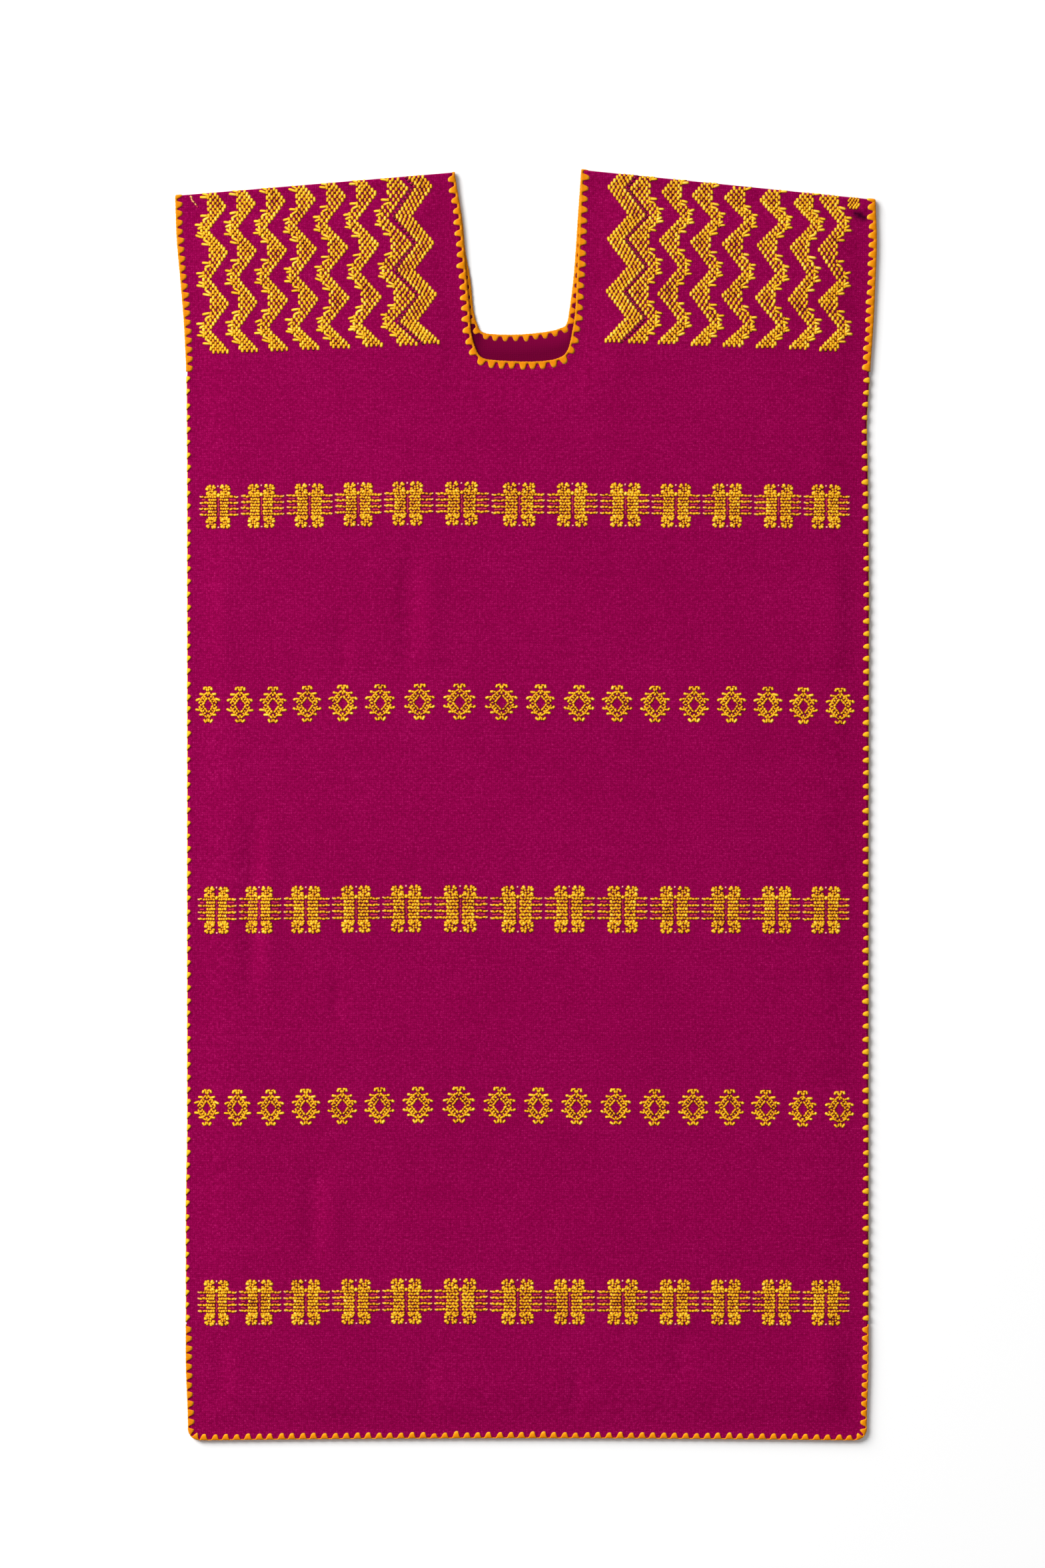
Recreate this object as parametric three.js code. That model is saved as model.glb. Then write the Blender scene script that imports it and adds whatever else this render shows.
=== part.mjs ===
// A long sleeveless kaftan of the huipil kind, laid flat with its front up.
// The body is one straight length of handwoven cotton, folded over at the shoulders, with a
// U-shaped neck cut through the fold. A stitched edging finishes the neck, the armholes, the side
// slits and the hem, and a line of stitches closes each side between armhole and slit.
// Millimetres, +X to the right of the photograph, +Y towards the shoulders, +Z up.
import * as THREE from "three";

// Driving sizes of the cloth
const WALL = 1.1;
const LAYER_GAP = 0.4;
const FOLD_GAP = 1.2;
const FOLD_RISE = 22;
const HEM_LOW = -666.75;
const HEM_LIFT = 2.2;
const CORNER_RADIUS = 11;
const NECK_ROW = 480;
const BACK_NECK_ROW = 505;
const HEM_CORNER_X = 330;
const FOLD_LEFT_Y = 640;
const FOLD_RIGHT_Y = 636;
// Below this height the neck's stitching turns from the side to the bottom
const NECK_TURN = 500;
const NECK_TURN_REACH = 20;

// Driving sizes of the stitched edging
const SEAM_GAP = 0.3;
const RAIL = 1.7;
const RAIL_HEIGHT = 1.3;
const RAIL_LAP = 0.9;
const SEAM_CORD = 1.0;
const SEAM_RISE = 0.4;
const TOOTH_LENGTH = 6;
const TOOTH_HALF = 2.2;
const TOOTH_DROP = 0.2;
const PITCH = { neckSide: 11.7, neckBottom: 10.5, armhole: 9.7, slit: 10.5, hem: 11.5, none: 0 };
const BORDER = 9.5;
const UNDER_LIFT = 0.1;
const SHOULDER_CLEAR = 3;
const ARMHOLE_CLEAR = 5;
const ARM_LEFT = -366;
const ARM_RIGHT = 365;
const BACK_NECK_CLEAR = 3;
const ARMHOLE_END = 453;
const SLIT_TOP = -545;

// How finely the wall is divided
const COLUMN_STEP = 24;
const FRONT_ROWS = 22;
const BACK_ROWS = 7;
const YOKE_ROWS = 4;
const FOLD_SEGMENTS = 4;
const CORNER_ROWS = [0, 1.5, 5.5, 12];
// A column moves onto a fold's middle within this share of a step, and keeps this many borders clear
const SNAP_SHARE = 0.35;
const BORDER_CLEAR = 1.6;
// Stations nearer than this to a corner are moved to it, and nearer than that to the last are left out
const CORNER_SNAP = 0.8;
const LEAST_STEP = 0.05;

// Relief of the front, where it lies loosely on the back
const PUFF = 1.7;
const FADE = 40;
// A fold keeps its full height for this share of its length, then runs out
const FOLD_FULL = 0.35;

// Where the outer edge of the stitching runs, from the hem up
const LEFT_SIDE = [
  { y: -645, x: -355 },
  { y: -590, x: -357.4 },
  { y: -415, x: -357.4 },
  { y: -345, x: -356 },
  { y: 355, x: -356 },
  { y: 453, x: -356.7 },
  { y: 509, x: -359.5 },
  { y: 565, x: -364.4 },
  { y: 593, x: -367.2 },
  { y: 640, x: -368.6 },
];
const RIGHT_SIDE = [
  { y: -645, x: 357.5 },
  { y: -590, x: 359.5 },
  { y: -20, x: 359.5 },
  { y: 215, x: 360.2 },
  { y: 355, x: 358.8 },
  { y: 397, x: 357.4 },
  { y: 453, x: 360.9 },
  { y: 509, x: 365 },
  { y: 593, x: 368.6 },
  { y: 636, x: 366.5 },
];

// The shoulder fold, from arm to neck on each side
const LEFT_SHOULDER = [
  { x: -368.6, y: 639.5 },
  { x: -76.7, y: 664 },
];
const RIGHT_SHOULDER = [
  { x: 57.8, y: 666.75 },
  { x: 366.5, y: 635.3 },
];

// The neckline's three stretches, front and back: inner edge of the stitching
const NECK_FRONT = {
  left: [
    { x: -53.1, y: 479.5 },
    { x: -57.8, y: 497 },
    { x: -59.4, y: 520 },
    { x: -62.4, y: 551 },
    { x: -67.9, y: 614 },
    { x: -75.2, y: 664 },
  ],
  bottom: [
    { x: -53.1, y: 479.5 },
    { x: -46.8, y: 470 },
    { x: -34.3, y: 467 },
    { x: -3.2, y: 465.4 },
    { x: 20.4, y: 466.2 },
    { x: 36, y: 470 },
    { x: 43.8, y: 478 },
  ],
  right: [
    { x: 43.8, y: 478 },
    { x: 48.5, y: 497 },
    { x: 51.7, y: 520 },
    { x: 53.2, y: 551 },
    { x: 54.7, y: 583 },
    { x: 57.8, y: 667 },
  ],
};
const NECK_BACK = {
  left: [
    { x: -51.5, y: 505 },
    { x: -55.4, y: 520 },
    { x: -58.5, y: 551 },
    { x: -64, y: 583 },
    { x: -67, y: 614 },
    { x: -75.2, y: 664 },
  ],
  bottom: [
    { x: -51.5, y: 505 },
    { x: -46.8, y: 497 },
    { x: -34.3, y: 494.3 },
    { x: -7.8, y: 494 },
    { x: 20.4, y: 496.7 },
    { x: 36, y: 500.6 },
    { x: 42.4, y: 505.3 },
  ],
  right: [
    { x: 42.4, y: 505.3 },
    { x: 45.4, y: 520 },
    { x: 49.4, y: 551 },
    { x: 52, y: 583 },
    { x: 54, y: 614 },
    { x: 57.8, y: 667 },
  ],
};

// The soft folds in the front: middle, length, width, height (a trough is negative) and lean in degrees
const FOLDS = [
  { x: -124, y: 203, length: 170, width: 22, height: -1.4, lean: 1 },
  { x: -100, y: 205, length: 150, width: 24, height: 0.9, lean: 1 },
  { x: -194, y: 174, length: 80, width: 18, height: -1.1, lean: -2 },
  { x: -287, y: -106, length: 240, width: 20, height: -1.5, lean: 0.5 },
  { x: -271, y: -106, length: 220, width: 20, height: 1.4, lean: 0.5 },
  { x: -198, y: -205, length: 70, width: 16, height: -0.9, lean: 4 },
  { x: -224, y: -431, length: 125, width: 20, height: -1.3, lean: -1 },
  { x: -203, y: -428, length: 110, width: 22, height: 0.9, lean: -1 },
  { x: -104, y: -608, length: 84, width: 20, height: -1.2, lean: 2 },
  { x: 53, y: -612, length: 66, width: 18, height: -1.1, lean: -3 },
  { x: -322, y: -596, length: 110, width: 18, height: -1.2, lean: 1 },
  { x: 163, y: -580, length: 78, width: 20, height: -1.0, lean: 2 },
  { x: 330, y: 212, length: 160, width: 26, height: 1.6, lean: 1 },
  { x: -322, y: 196, length: 150, width: 26, height: 1.4, lean: -1 },
  { x: 322, y: -598, length: 120, width: 40, height: 1.9, lean: -8 },
  { x: 210, y: 60, length: 300, width: 60, height: 0.9, lean: 3 },
  { x: 120, y: -260, length: 320, width: 70, height: 0.8, lean: -4 },
  { x: 348, y: 622, length: 36, width: 12, height: -0.9, lean: 48 },
];

const CLOTH_COLOUR = 0x8e0547;
const EDGING_COLOUR = 0xf79a0c;
const SEAM_COLOUR = 0xffc20e;

// Plain helpers

const lerp = THREE.MathUtils.lerp;

const smooth = (value) => THREE.MathUtils.smoothstep(value, 0, 1);

function between(a, b, f) {
  return { x: lerp(a.x, b.x, f), y: lerp(a.y, b.y, f) };
}

// The value of column `want` where column `by` reaches a given place, straight between the rows.
function readTable(table, by, place, want) {
  let k = 1;
  while (k < table.length - 1 && table[k][by] < place) k += 1;
  const low = table[k - 1];
  const high = table[k];
  const f = THREE.MathUtils.clamp((place - low[by]) / (high[by] - low[by]), 0, 1);
  return lerp(low[want], high[want], f);
}

// The cloth ends this far inside the stitching that runs round it.
const EDGE_INSET = RAIL + SEAM_GAP;

// The shoulder fold is a half round: the radius of its middle surface, and how far it reaches.
const FOLD_RADIUS = (WALL + FOLD_GAP) / 2;
const FOLD_REACH = FOLD_RADIUS + WALL / 2;

function roundedCorner(rise) {
  if (rise >= CORNER_RADIUS) return 0;
  return CORNER_RADIUS - Math.sqrt(CORNER_RADIUS ** 2 - (CORNER_RADIUS - rise) ** 2);
}

function hemLine(x) {
  const off = Math.min(Math.abs(x) / HEM_CORNER_X, 1);
  return HEM_LOW + EDGE_INSET + HEM_LIFT * (1 - off ** 2);
}

function leftEdge(y) {
  const rise = y - hemLine(-HEM_CORNER_X);
  return readTable(LEFT_SIDE, "y", y, "x") + EDGE_INSET + roundedCorner(rise);
}

function rightEdge(y) {
  const rise = y - hemLine(HEM_CORNER_X);
  return readTable(RIGHT_SIDE, "y", y, "x") - EDGE_INSET - roundedCorner(rise);
}

function shoulderLine(x) {
  const table = x < 0 ? LEFT_SHOULDER : RIGHT_SHOULDER;
  const [a, b] = table;
  return lerp(a.y, b.y, (x - a.x) / (b.x - a.x));
}

// The neckline of the cloth itself, which lies outside its stitching.
function clothNeck(neck) {
  const drop = (y) => EDGE_INSET * smooth((NECK_TURN - y) / NECK_TURN_REACH);
  const moved = (p, outward) => ({ x: p.x + outward * EDGE_INSET, y: p.y - drop(p.y) });
  const bottom = neck.bottom.map((p) => ({ x: p.x, y: p.y - EDGE_INSET }));
  bottom[0].x -= EDGE_INSET;
  bottom[bottom.length - 1].x += EDGE_INSET;
  return {
    left: neck.left.map((p) => moved(p, -1)),
    bottom,
    right: neck.right.map((p) => moved(p, 1)),
  };
}

function joinedNeck(neck) {
  const cut = clothNeck(neck);
  cut.left[0] = cut.bottom[0];
  cut.right[0] = cut.bottom[cut.bottom.length - 1];
  return cut;
}

const frontNeck = joinedNeck(NECK_FRONT);
const backNeck = joinedNeck(NECK_BACK);

// Heights

// The air between the layers, which widens towards the shoulder fold.
function airGap(x, y) {
  if (y < BACK_NECK_ROW) return LAYER_GAP;
  const share = (shoulderLine(x) - y - FOLD_REACH) / (FOLD_RISE - FOLD_REACH);
  return lerp(FOLD_GAP, LAYER_GAP, THREE.MathUtils.clamp(share, 0, 1));
}

function distanceToNeck(x, y) {
  const loop = [...frontNeck.left.slice().reverse(), ...frontNeck.bottom, ...frontNeck.right];
  return Math.min(...loop.slice(1).map((b, k) => {
    const a = loop[k];
    const run = new THREE.Vector2(b.x - a.x, b.y - a.y);
    const to = new THREE.Vector2(x - a.x, y - a.y);
    const f = THREE.MathUtils.clamp(to.dot(run) / Math.max(run.lengthSq(), 1e-6), 0, 1);
    return Math.hypot(to.x - run.x * f, to.y - run.y * f);
  }));
}

function foldHeight(fold, x, y) {
  const lean = THREE.MathUtils.degToRad(fold.lean);
  const across = (x - fold.x) * Math.cos(lean) - (y - fold.y) * Math.sin(lean);
  const along = (x - fold.x) * Math.sin(lean) + (y - fold.y) * Math.cos(lean);
  const side = Math.exp(-((across / (fold.width / 2)) ** 2));
  const past = Math.max(Math.abs(along) * 2 / fold.length - FOLD_FULL, 0);
  const run = smooth(1 - past / (1 - FOLD_FULL));
  return fold.height * side * run;
}

// How far the front stands above lying flat on the back.
function relief(x, y) {
  const clear = Math.min(
    x - leftEdge(y), rightEdge(y) - x, y - hemLine(x), shoulderLine(x) - y, distanceToNeck(x, y),
  );
  const fade = smooth((clear - BORDER) / FADE);
  const folds = FOLDS.reduce((sum, fold) => sum + foldHeight(fold, x, y), 0);
  return fade * Math.max(PUFF + folds, 0);
}

// The cloth's wall

// Lines across one side of the body: the two edges, a line that bounds the flat border at each,
// and even steps between them that move onto a fold's middle where one is near.
function columnShares(from, to) {
  const width = to - from;
  const count = Math.round(Math.abs(width) / COLUMN_STEP);
  const inner = Array.from({ length: count - 1 }, (_, k) => from + width * (k + 1) / count);
  for (const fold of FOLDS) {
    const near = inner.findIndex((x) => Math.abs(x - fold.x) < COLUMN_STEP * SNAP_SHARE);
    if (near >= 0) inner[near] = fold.x;
  }
  const border = Math.abs(BORDER / width);
  const clear = border * BORDER_CLEAR;
  const kept = inner.map((x) => (x - from) / width).filter((f) => f > clear && f < 1 - clear);
  return [0, border, ...kept, 1 - border, 1];
}

const LEFT_SHARES = columnShares(leftEdge(0), frontNeck.bottom[0].x);
const RIGHT_SHARES = columnShares(frontNeck.right[0].x, rightEdge(0));
const LAST_LEFT = LEFT_SHARES.length - 1;

// One row of plan points from the left edge to the right edge, at given heights on the edges, with
// the middle stretch given, or null where the neck is cut out.
function planRow(left, neckLeft, middle, neckRight, right) {
  const gap = Array.from({ length: frontNeck.bottom.length - 2 }, () => null);
  return [
    ...LEFT_SHARES.map((f) => between(left, neckLeft, f)),
    ...(middle || gap),
    ...RIGHT_SHARES.map((f) => between(neckRight, right, f)),
  ];
}

function neckRow(neck, y) {
  const last = neck.bottom.length - 1;
  return planRow(
    { x: leftEdge(y), y }, neck.bottom[0], neck.bottom.slice(1, last), neck.bottom[last],
    { x: rightEdge(y), y },
  );
}

// A full-width row, a share of the way from the hem to the neck row.
function bodyRow(top, share, rise) {
  return top.map((p, k) => {
    const y = rise === null ? lerp(hemLine(p.x), p.y, share) : hemLine(p.x) + rise;
    const leftShift = k <= LAST_LEFT ? 1 - LEFT_SHARES[k] : 0;
    const rightIndex = k - (top.length - RIGHT_SHARES.length);
    const rightShift = rightIndex >= 0 ? RIGHT_SHARES[rightIndex] : 0;
    const x = p.x + (leftEdge(y) - top[0].x) * leftShift
      + (rightEdge(y) - top[top.length - 1].x) * rightShift;
    return { x, y };
  });
}

// A row of the yoke, between neck row and fold, a share of the way up or a set way below the fold.
function yokeRow(neck, rowY, share, below) {
  const foldLeft = leftEdge(FOLD_LEFT_Y);
  const foldRight = rightEdge(FOLD_RIGHT_Y);
  const ySide = (x) => (below === null
    ? lerp(rowY, shoulderLine(x) - FOLD_RISE, share) : shoulderLine(x) - below);
  const neckPoint = (side) => {
    const start = side[0];
    const end = side[side.length - 1];
    const top = shoulderLine(end.x) - FOLD_RISE;
    const y = below === null ? lerp(start.y, top, share) : shoulderLine(end.x) - below;
    return { x: readTable(side, "y", y, "x"), y };
  };
  const left = { x: leftEdge(ySide(foldLeft)), y: ySide(foldLeft) };
  const right = { x: rightEdge(ySide(foldRight)), y: ySide(foldRight) };
  return planRow(left, neckPoint(neck.left), null, neckPoint(neck.right), right);
}

function evenShares(count) {
  return Array.from({ length: count }, (_, k) => (k + 1) / count);
}

function frontPlan() {
  const top = neckRow(frontNeck, NECK_ROW);
  const height = NECK_ROW - HEM_LOW;
  const first = CORNER_ROWS[CORNER_ROWS.length - 1] / height;
  const last = 1 - BORDER / height;
  const middle = evenShares(FRONT_ROWS).map((f) => lerp(first, last, f));
  return {
    body: [
      ...CORNER_ROWS.map((rise) => bodyRow(top, null, rise)),
      ...middle.map((share) => bodyRow(top, share, null)),
      top,
    ],
    yoke: [
      ...evenShares(YOKE_ROWS).map((share) => yokeRow(frontNeck, NECK_ROW, share, null)),
      yokeRow(frontNeck, NECK_ROW, null, FOLD_REACH),
    ],
  };
}

function backPlan() {
  const top = neckRow(backNeck, BACK_NECK_ROW);
  const first = CORNER_ROWS[CORNER_ROWS.length - 1] / (BACK_NECK_ROW - HEM_LOW);
  const middle = evenShares(BACK_ROWS).slice(0, -1).map((f) => lerp(first, 1, f));
  const shares = evenShares(YOKE_ROWS - 1).slice(0, -1);
  return {
    body: [
      ...CORNER_ROWS.map((rise) => bodyRow(top, null, rise)),
      ...middle.map((share) => bodyRow(top, share, null)),
      top,
    ],
    yoke: [
      ...shares.map((share) => yokeRow(backNeck, BACK_NECK_ROW, share, null)),
      yokeRow(backNeck, BACK_NECK_ROW, null, FOLD_REACH),
    ],
  };
}

// The mid-surface of the wall with its outward direction: front, then fold, then back.
function clothGrid(front, back) {
  const onFront = (p) => p && {
    x: p.x, y: p.y, z: WALL * 1.5 + airGap(p.x, p.y) + relief(p.x, p.y), out: [0, 1],
  };
  const onBack = (p) => p && { x: p.x, y: p.y, z: WALL / 2, out: [0, -1] };
  const foldFoot = front.yoke[front.yoke.length - 1];
  const turns = Array.from({ length: FOLD_SEGMENTS - 1 }, (_, k) => Math.PI * (k + 1) / FOLD_SEGMENTS);
  const overFold = (turn) => foldFoot.map((p) => p && {
    x: p.x,
    y: p.y + FOLD_RADIUS * Math.sin(turn),
    z: WALL / 2 + FOLD_RADIUS * (1 + Math.cos(turn)),
    out: [Math.sin(turn), Math.cos(turn)],
  });
  return [
    ...front.body.map((row) => row.map(onFront)),
    ...front.yoke.map((row) => row.map(onFront)),
    ...turns.map(overFold),
    ...back.yoke.slice().reverse().map((row) => row.map(onBack)),
    ...back.body.slice().reverse().map((row) => row.map(onBack)),
  ];
}

// A closed mesh from a grid of wall points: an outer skin, an inner skin and a rim round each edge.
function wallGeometry(grid) {
  const numbers = new Map();
  const points = [];
  grid.forEach((row, j) => row.forEach((p, i) => {
    if (!p) return;
    numbers.set(`${i},${j}`, points.length);
    points.push(p);
  }));
  const count = points.length;
  const skin = (side) => points.flatMap((p) => [
    p.x, p.y + side * p.out[0] * WALL / 2, p.z + side * p.out[1] * WALL / 2,
  ]);
  const faces = [];
  const edges = new Map();
  grid.slice(0, -1).forEach((row, j) => row.slice(0, -1).forEach((_, i) => {
    const ring = [[i, j], [i + 1, j], [i + 1, j + 1], [i, j + 1]].map((c) => numbers.get(c.join()));
    if (ring.includes(undefined)) return;
    const [a, b, c, d] = ring;
    faces.push(a, b, c, a, c, d);
    faces.push(count + a, count + c, count + b, count + a, count + d, count + c);
    ring.forEach((from, k) => edges.set(`${from},${ring[(k + 1) % 4]}`, [from, ring[(k + 1) % 4]]));
  }));
  for (const [from, to] of edges.values()) {
    if (edges.has(`${to},${from}`)) continue;
    faces.push(to, from, count + from, to, count + from, count + to);
  }
  return geometryFrom([...skin(1), ...skin(-1)], faces);
}

function geometryFrom(positions, faces) {
  const geometry = new THREE.BufferGeometry();
  geometry.setAttribute("position", new THREE.Float32BufferAttribute(positions, 3));
  geometry.setIndex(faces);
  geometry.computeVertexNormals();
  return geometry;
}

// Stitched edging

// Stations along an edge whose open side is on the left of travel. A tooth has three: its two
// feet and its tip. Corners of the edge get one of their own, so that the strip turns with them.
function stationsAlong(points, pitch) {
  const spans = points.slice(1).map((p, k) => Math.hypot(p.x - points[k].x, p.y - points[k].y));
  const length = spans.reduce((sum, span) => sum + span, 0);
  const teeth = pitch ? Math.round(length / pitch) : 0;
  const marks = [{ at: 0, tooth: 0 }];
  for (let k = 0; k < teeth; k += 1) {
    const middle = length * (k + 0.5) / teeth;
    marks.push({ at: middle - TOOTH_HALF, tooth: 0 });
    marks.push({ at: middle, tooth: 1 });
    marks.push({ at: middle + TOOTH_HALF, tooth: 0 });
  }
  marks.push({ at: length, tooth: 0 });
  const stations = marks.map((mark) => ({ ...mark, ...stationAt(points, spans, mark.at) }));
  let travelled = 0;
  for (let k = 1; k < points.length - 1; k += 1) {
    travelled += spans[k - 1];
    const before = unitNormal(points[k - 1], points[k]);
    const after = unitNormal(points[k], points[k + 1]);
    const normal = mitre(before, after);
    const tooth = toothAt(marks, travelled);
    const near = stations.findIndex((s) => Math.abs(s.at - travelled) < CORNER_SNAP && s.tooth === 0);
    const made = { at: travelled, tooth, x: points[k].x, y: points[k].y, normal };
    if (near > 0 && near < stations.length - 1) stations[near] = { ...made, tooth: 0 };
    else stations.push(made);
  }
  const sorted = stations.sort((a, b) => a.at - b.at);
  return sorted.filter((s, k) => k === 0 || s.at - sorted[k - 1].at > LEAST_STEP);
}

function toothAt(marks, at) {
  const k = marks.findIndex((mark) => mark.at > at);
  const low = marks[k - 1];
  const high = marks[k];
  return lerp(low.tooth, high.tooth, (at - low.at) / (high.at - low.at));
}

function stationAt(points, spans, at) {
  let left = at;
  let k = 0;
  while (k < spans.length - 1 && left > spans[k]) {
    left -= spans[k];
    k += 1;
  }
  const place = between(points[k], points[k + 1], Math.min(left / spans[k], 1));
  return { ...place, normal: unitNormal(points[k], points[k + 1]) };
}

function unitNormal(a, b) {
  return new THREE.Vector2(a.y - b.y, b.x - a.x).normalize();
}

// The direction between two normals, as long as keeps an offset line the same way off both.
function mitre(before, after) {
  const half = Math.acos(THREE.MathUtils.clamp(before.dot(after), -1, 1)) / 2;
  return before.clone().add(after).normalize().divideScalar(Math.cos(half));
}

// The strip's section at a station: a rail beside the cloth's edge that laps over it, and a tooth.
function lappedSection(low, top) {
  return (station) => {
    const tip = lerp(RAIL_LAP, TOOTH_LENGTH, station.tooth);
    const surface = top(station);
    return [
      { out: RAIL + SEAM_GAP, z: low(station) },
      { out: RAIL + SEAM_GAP, z: surface + RAIL_HEIGHT },
      { out: -tip, z: surface + SEAM_GAP + TOOTH_DROP },
      { out: SEAM_GAP, z: surface + SEAM_GAP },
      { out: SEAM_GAP, z: low(station) },
    ];
  };
}

function plainSection(low, high, width) {
  return () => [
    { out: SEAM_GAP + width, z: low },
    { out: SEAM_GAP + width, z: high },
    { out: SEAM_GAP, z: high },
    { out: SEAM_GAP, z: low },
  ];
}

// A closed strip through its sections, with a flat end at each end.
function stripGeometry(stations, section) {
  const rings = stations.map((s) => section(s).map((p) => [
    s.x + s.normal.x * p.out, s.y + s.normal.y * p.out, p.z,
  ]));
  const size = rings[0].length;
  const faces = [];
  for (let r = 0; r < rings.length - 1; r += 1) {
    for (let k = 0; k < size; k += 1) {
      const a = r * size + k;
      const b = r * size + (k + 1) % size;
      faces.push(a, b, a + size, b, b + size, a + size);
    }
  }
  const last = (rings.length - 1) * size;
  for (const cap of THREE.ShapeUtils.triangulateShape(capShape(section(stations[0])), [])) {
    const [a, b, c] = cap;
    faces.push(a, c, b);
    faces.push(last + a, last + b, last + c);
  }
  return geometryFrom(rings.flat(2), faces);
}

function capShape(section) {
  return section.map((p) => new THREE.Vector2(p.out, p.z));
}

// Part of an edge between two heights, kept in its own direction.
function clipByHeight(points, low, high) {
  const rising = points[0].y < points[points.length - 1].y;
  const up = rising ? points : points.slice().reverse();
  const inside = up.filter((p) => p.y > low + 0.5 && p.y < high - 0.5);
  const ends = [low, high].map((y) => ({ x: readTable(up, "y", y, "x"), y }));
  const kept = [ends[0], ...inside, ends[1]];
  return rising ? kept : kept.reverse();
}

// The whole part

const materials = {
  cloth: new THREE.MeshStandardMaterial({ color: CLOTH_COLOUR, roughness: 0.9, metalness: 0 }),
  edging: new THREE.MeshStandardMaterial({ color: EDGING_COLOUR, roughness: 0.6, metalness: 0 }),
  seam: new THREE.MeshStandardMaterial({ color: SEAM_COLOUR, roughness: 0.6, metalness: 0 }),
};

const kaftan = new THREE.Group();

function addPiece(name, geometry, material) {
  const piece = new THREE.Mesh(geometry, material);
  piece.name = name;
  kaftan.add(piece);
}

const front = frontPlan();
const back = backPlan();
const frontTop = (p) => WALL * 2 + airGap(p.x, p.y);
const aboveBack = () => WALL + SEAM_GAP;

function addCloth() {
  addPiece("cloth", wallGeometry(clothGrid(front, back)), materials.cloth);
}

const columnOf = (rows, index) => rows.map((row) => row[index < 0 ? row.length + index : index]);

// The left and right edges of a layer from hem to fold, and its hem from right to left.
function edgesOf(plan) {
  const rows = [...plan.body, ...plan.yoke];
  return { left: columnOf(rows, 0), right: columnOf(rows, -1), hem: plan.body[0].slice().reverse() };
}

const frontEdges = edgesOf(front);
const backEdges = edgesOf(back);

// The neck's edge in three stretches: down the left side, along the bottom and up the right side.
function neckPath(plan) {
  const top = plan.body[plan.body.length - 1];
  const rightStart = top.length - RIGHT_SHARES.length;
  const left = [top[LAST_LEFT], ...columnOf(plan.yoke, LAST_LEFT)].reverse();
  const right = [top[rightStart], ...columnOf(plan.yoke, rightStart)];
  const trim = (end, next) => {
    const run = Math.hypot(next.x - end.x, next.y - end.y);
    return between(end, next, SHOULDER_CLEAR / run);
  };
  left[0] = trim(left[0], left[1]);
  right[right.length - 1] = trim(right[right.length - 1], right[right.length - 2]);
  return { left, bottom: top.slice(LAST_LEFT, rightStart + 1), right };
}

// Stretches of one strip, each with its own pitch, joined with a mitre at each meeting.
function joinStretches(stretches) {
  return stretches.map(({ points, pitch }) => stationsAlong(points, pitch)).reduce((line, part) => {
    const last = line[line.length - 1];
    return [...line.slice(0, -1), { ...last, normal: mitre(last.normal, part[0].normal) }, ...part.slice(1)];
  });
}

function addNeckEdging() {
  const edge = neckPath(front);
  const line = joinStretches([
    { points: edge.left, pitch: PITCH.neckSide },
    { points: edge.bottom, pitch: PITCH.neckBottom },
    { points: edge.right, pitch: PITCH.neckSide },
  ]);
  const strip = stripGeometry(line, lappedSection(aboveBack, frontTop));
  addPiece("neck_edging_front", strip, materials.edging);
}

// Inside the neck the back's edging shows its teeth only where the front's neck is cut lower.
function addBackNeckEdging() {
  const edge = neckPath(back);
  const line = joinStretches([
    { points: edge.left, pitch: PITCH.none },
    { points: edge.bottom, pitch: PITCH.neckBottom },
    { points: edge.right, pitch: PITCH.none },
  ]);
  const section = (station) => {
    const open = station.y < BACK_NECK_ROW - BACK_NECK_CLEAR ? 1 : 0;
    const lap = open * lerp(RAIL_LAP, TOOTH_LENGTH, station.tooth);
    return [
      { out: RAIL + SEAM_GAP, z: UNDER_LIFT },
      { out: RAIL + SEAM_GAP, z: WALL + RAIL_HEIGHT * open },
      { out: lerp(SEAM_GAP, -lap, open), z: WALL + (SEAM_GAP + TOOTH_DROP) * open },
      { out: SEAM_GAP, z: lerp(WALL - SEAM_GAP, WALL + SEAM_GAP, open) },
      { out: SEAM_GAP, z: UNDER_LIFT },
    ];
  };
  addPiece("neck_edging_back", stripGeometry(line, section), materials.edging);
}

function addArmholeEdging() {
  const top = {
    left: shoulderLine(ARM_LEFT) - ARMHOLE_CLEAR,
    right: shoulderLine(ARM_RIGHT) - ARMHOLE_CLEAR,
  };
  for (const side of ["left", "right"]) {
    const turn = (points) => (side === "right" ? points.slice().reverse() : points);
    const onFront = clipByHeight(turn(frontEdges[side]), ARMHOLE_END + 1, top[side]);
    const onBack = clipByHeight(turn(backEdges[side]), ARMHOLE_END + 1, top[side]);
    addPiece(
      `armhole_edging_${side}_front`,
      stripGeometry(stationsAlong(onFront, PITCH.armhole), lappedSection(aboveBack, frontTop)),
      materials.edging,
    );
    addPiece(
      `armhole_edging_${side}_back`,
      stripGeometry(stationsAlong(onBack, PITCH.none), plainSection(UNDER_LIFT, WALL, RAIL)),
      materials.edging,
    );
  }
}

// The line that clears both layers' edges, from the hem up.
function outermost(side) {
  const sign = side === "left" ? -1 : 1;
  const layers = [frontEdges[side], backEdges[side]];
  const heights = layers.flat().map((p) => p.y).sort((a, b) => a - b);
  const apart = heights.filter((y, k) => k === 0 || y - heights[k - 1] > 1);
  return apart.map((y) => ({
    x: sign * Math.max(...layers.map((edge) => sign * readTable(edge, "y", y, "x"))),
    y,
  }));
}

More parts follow.
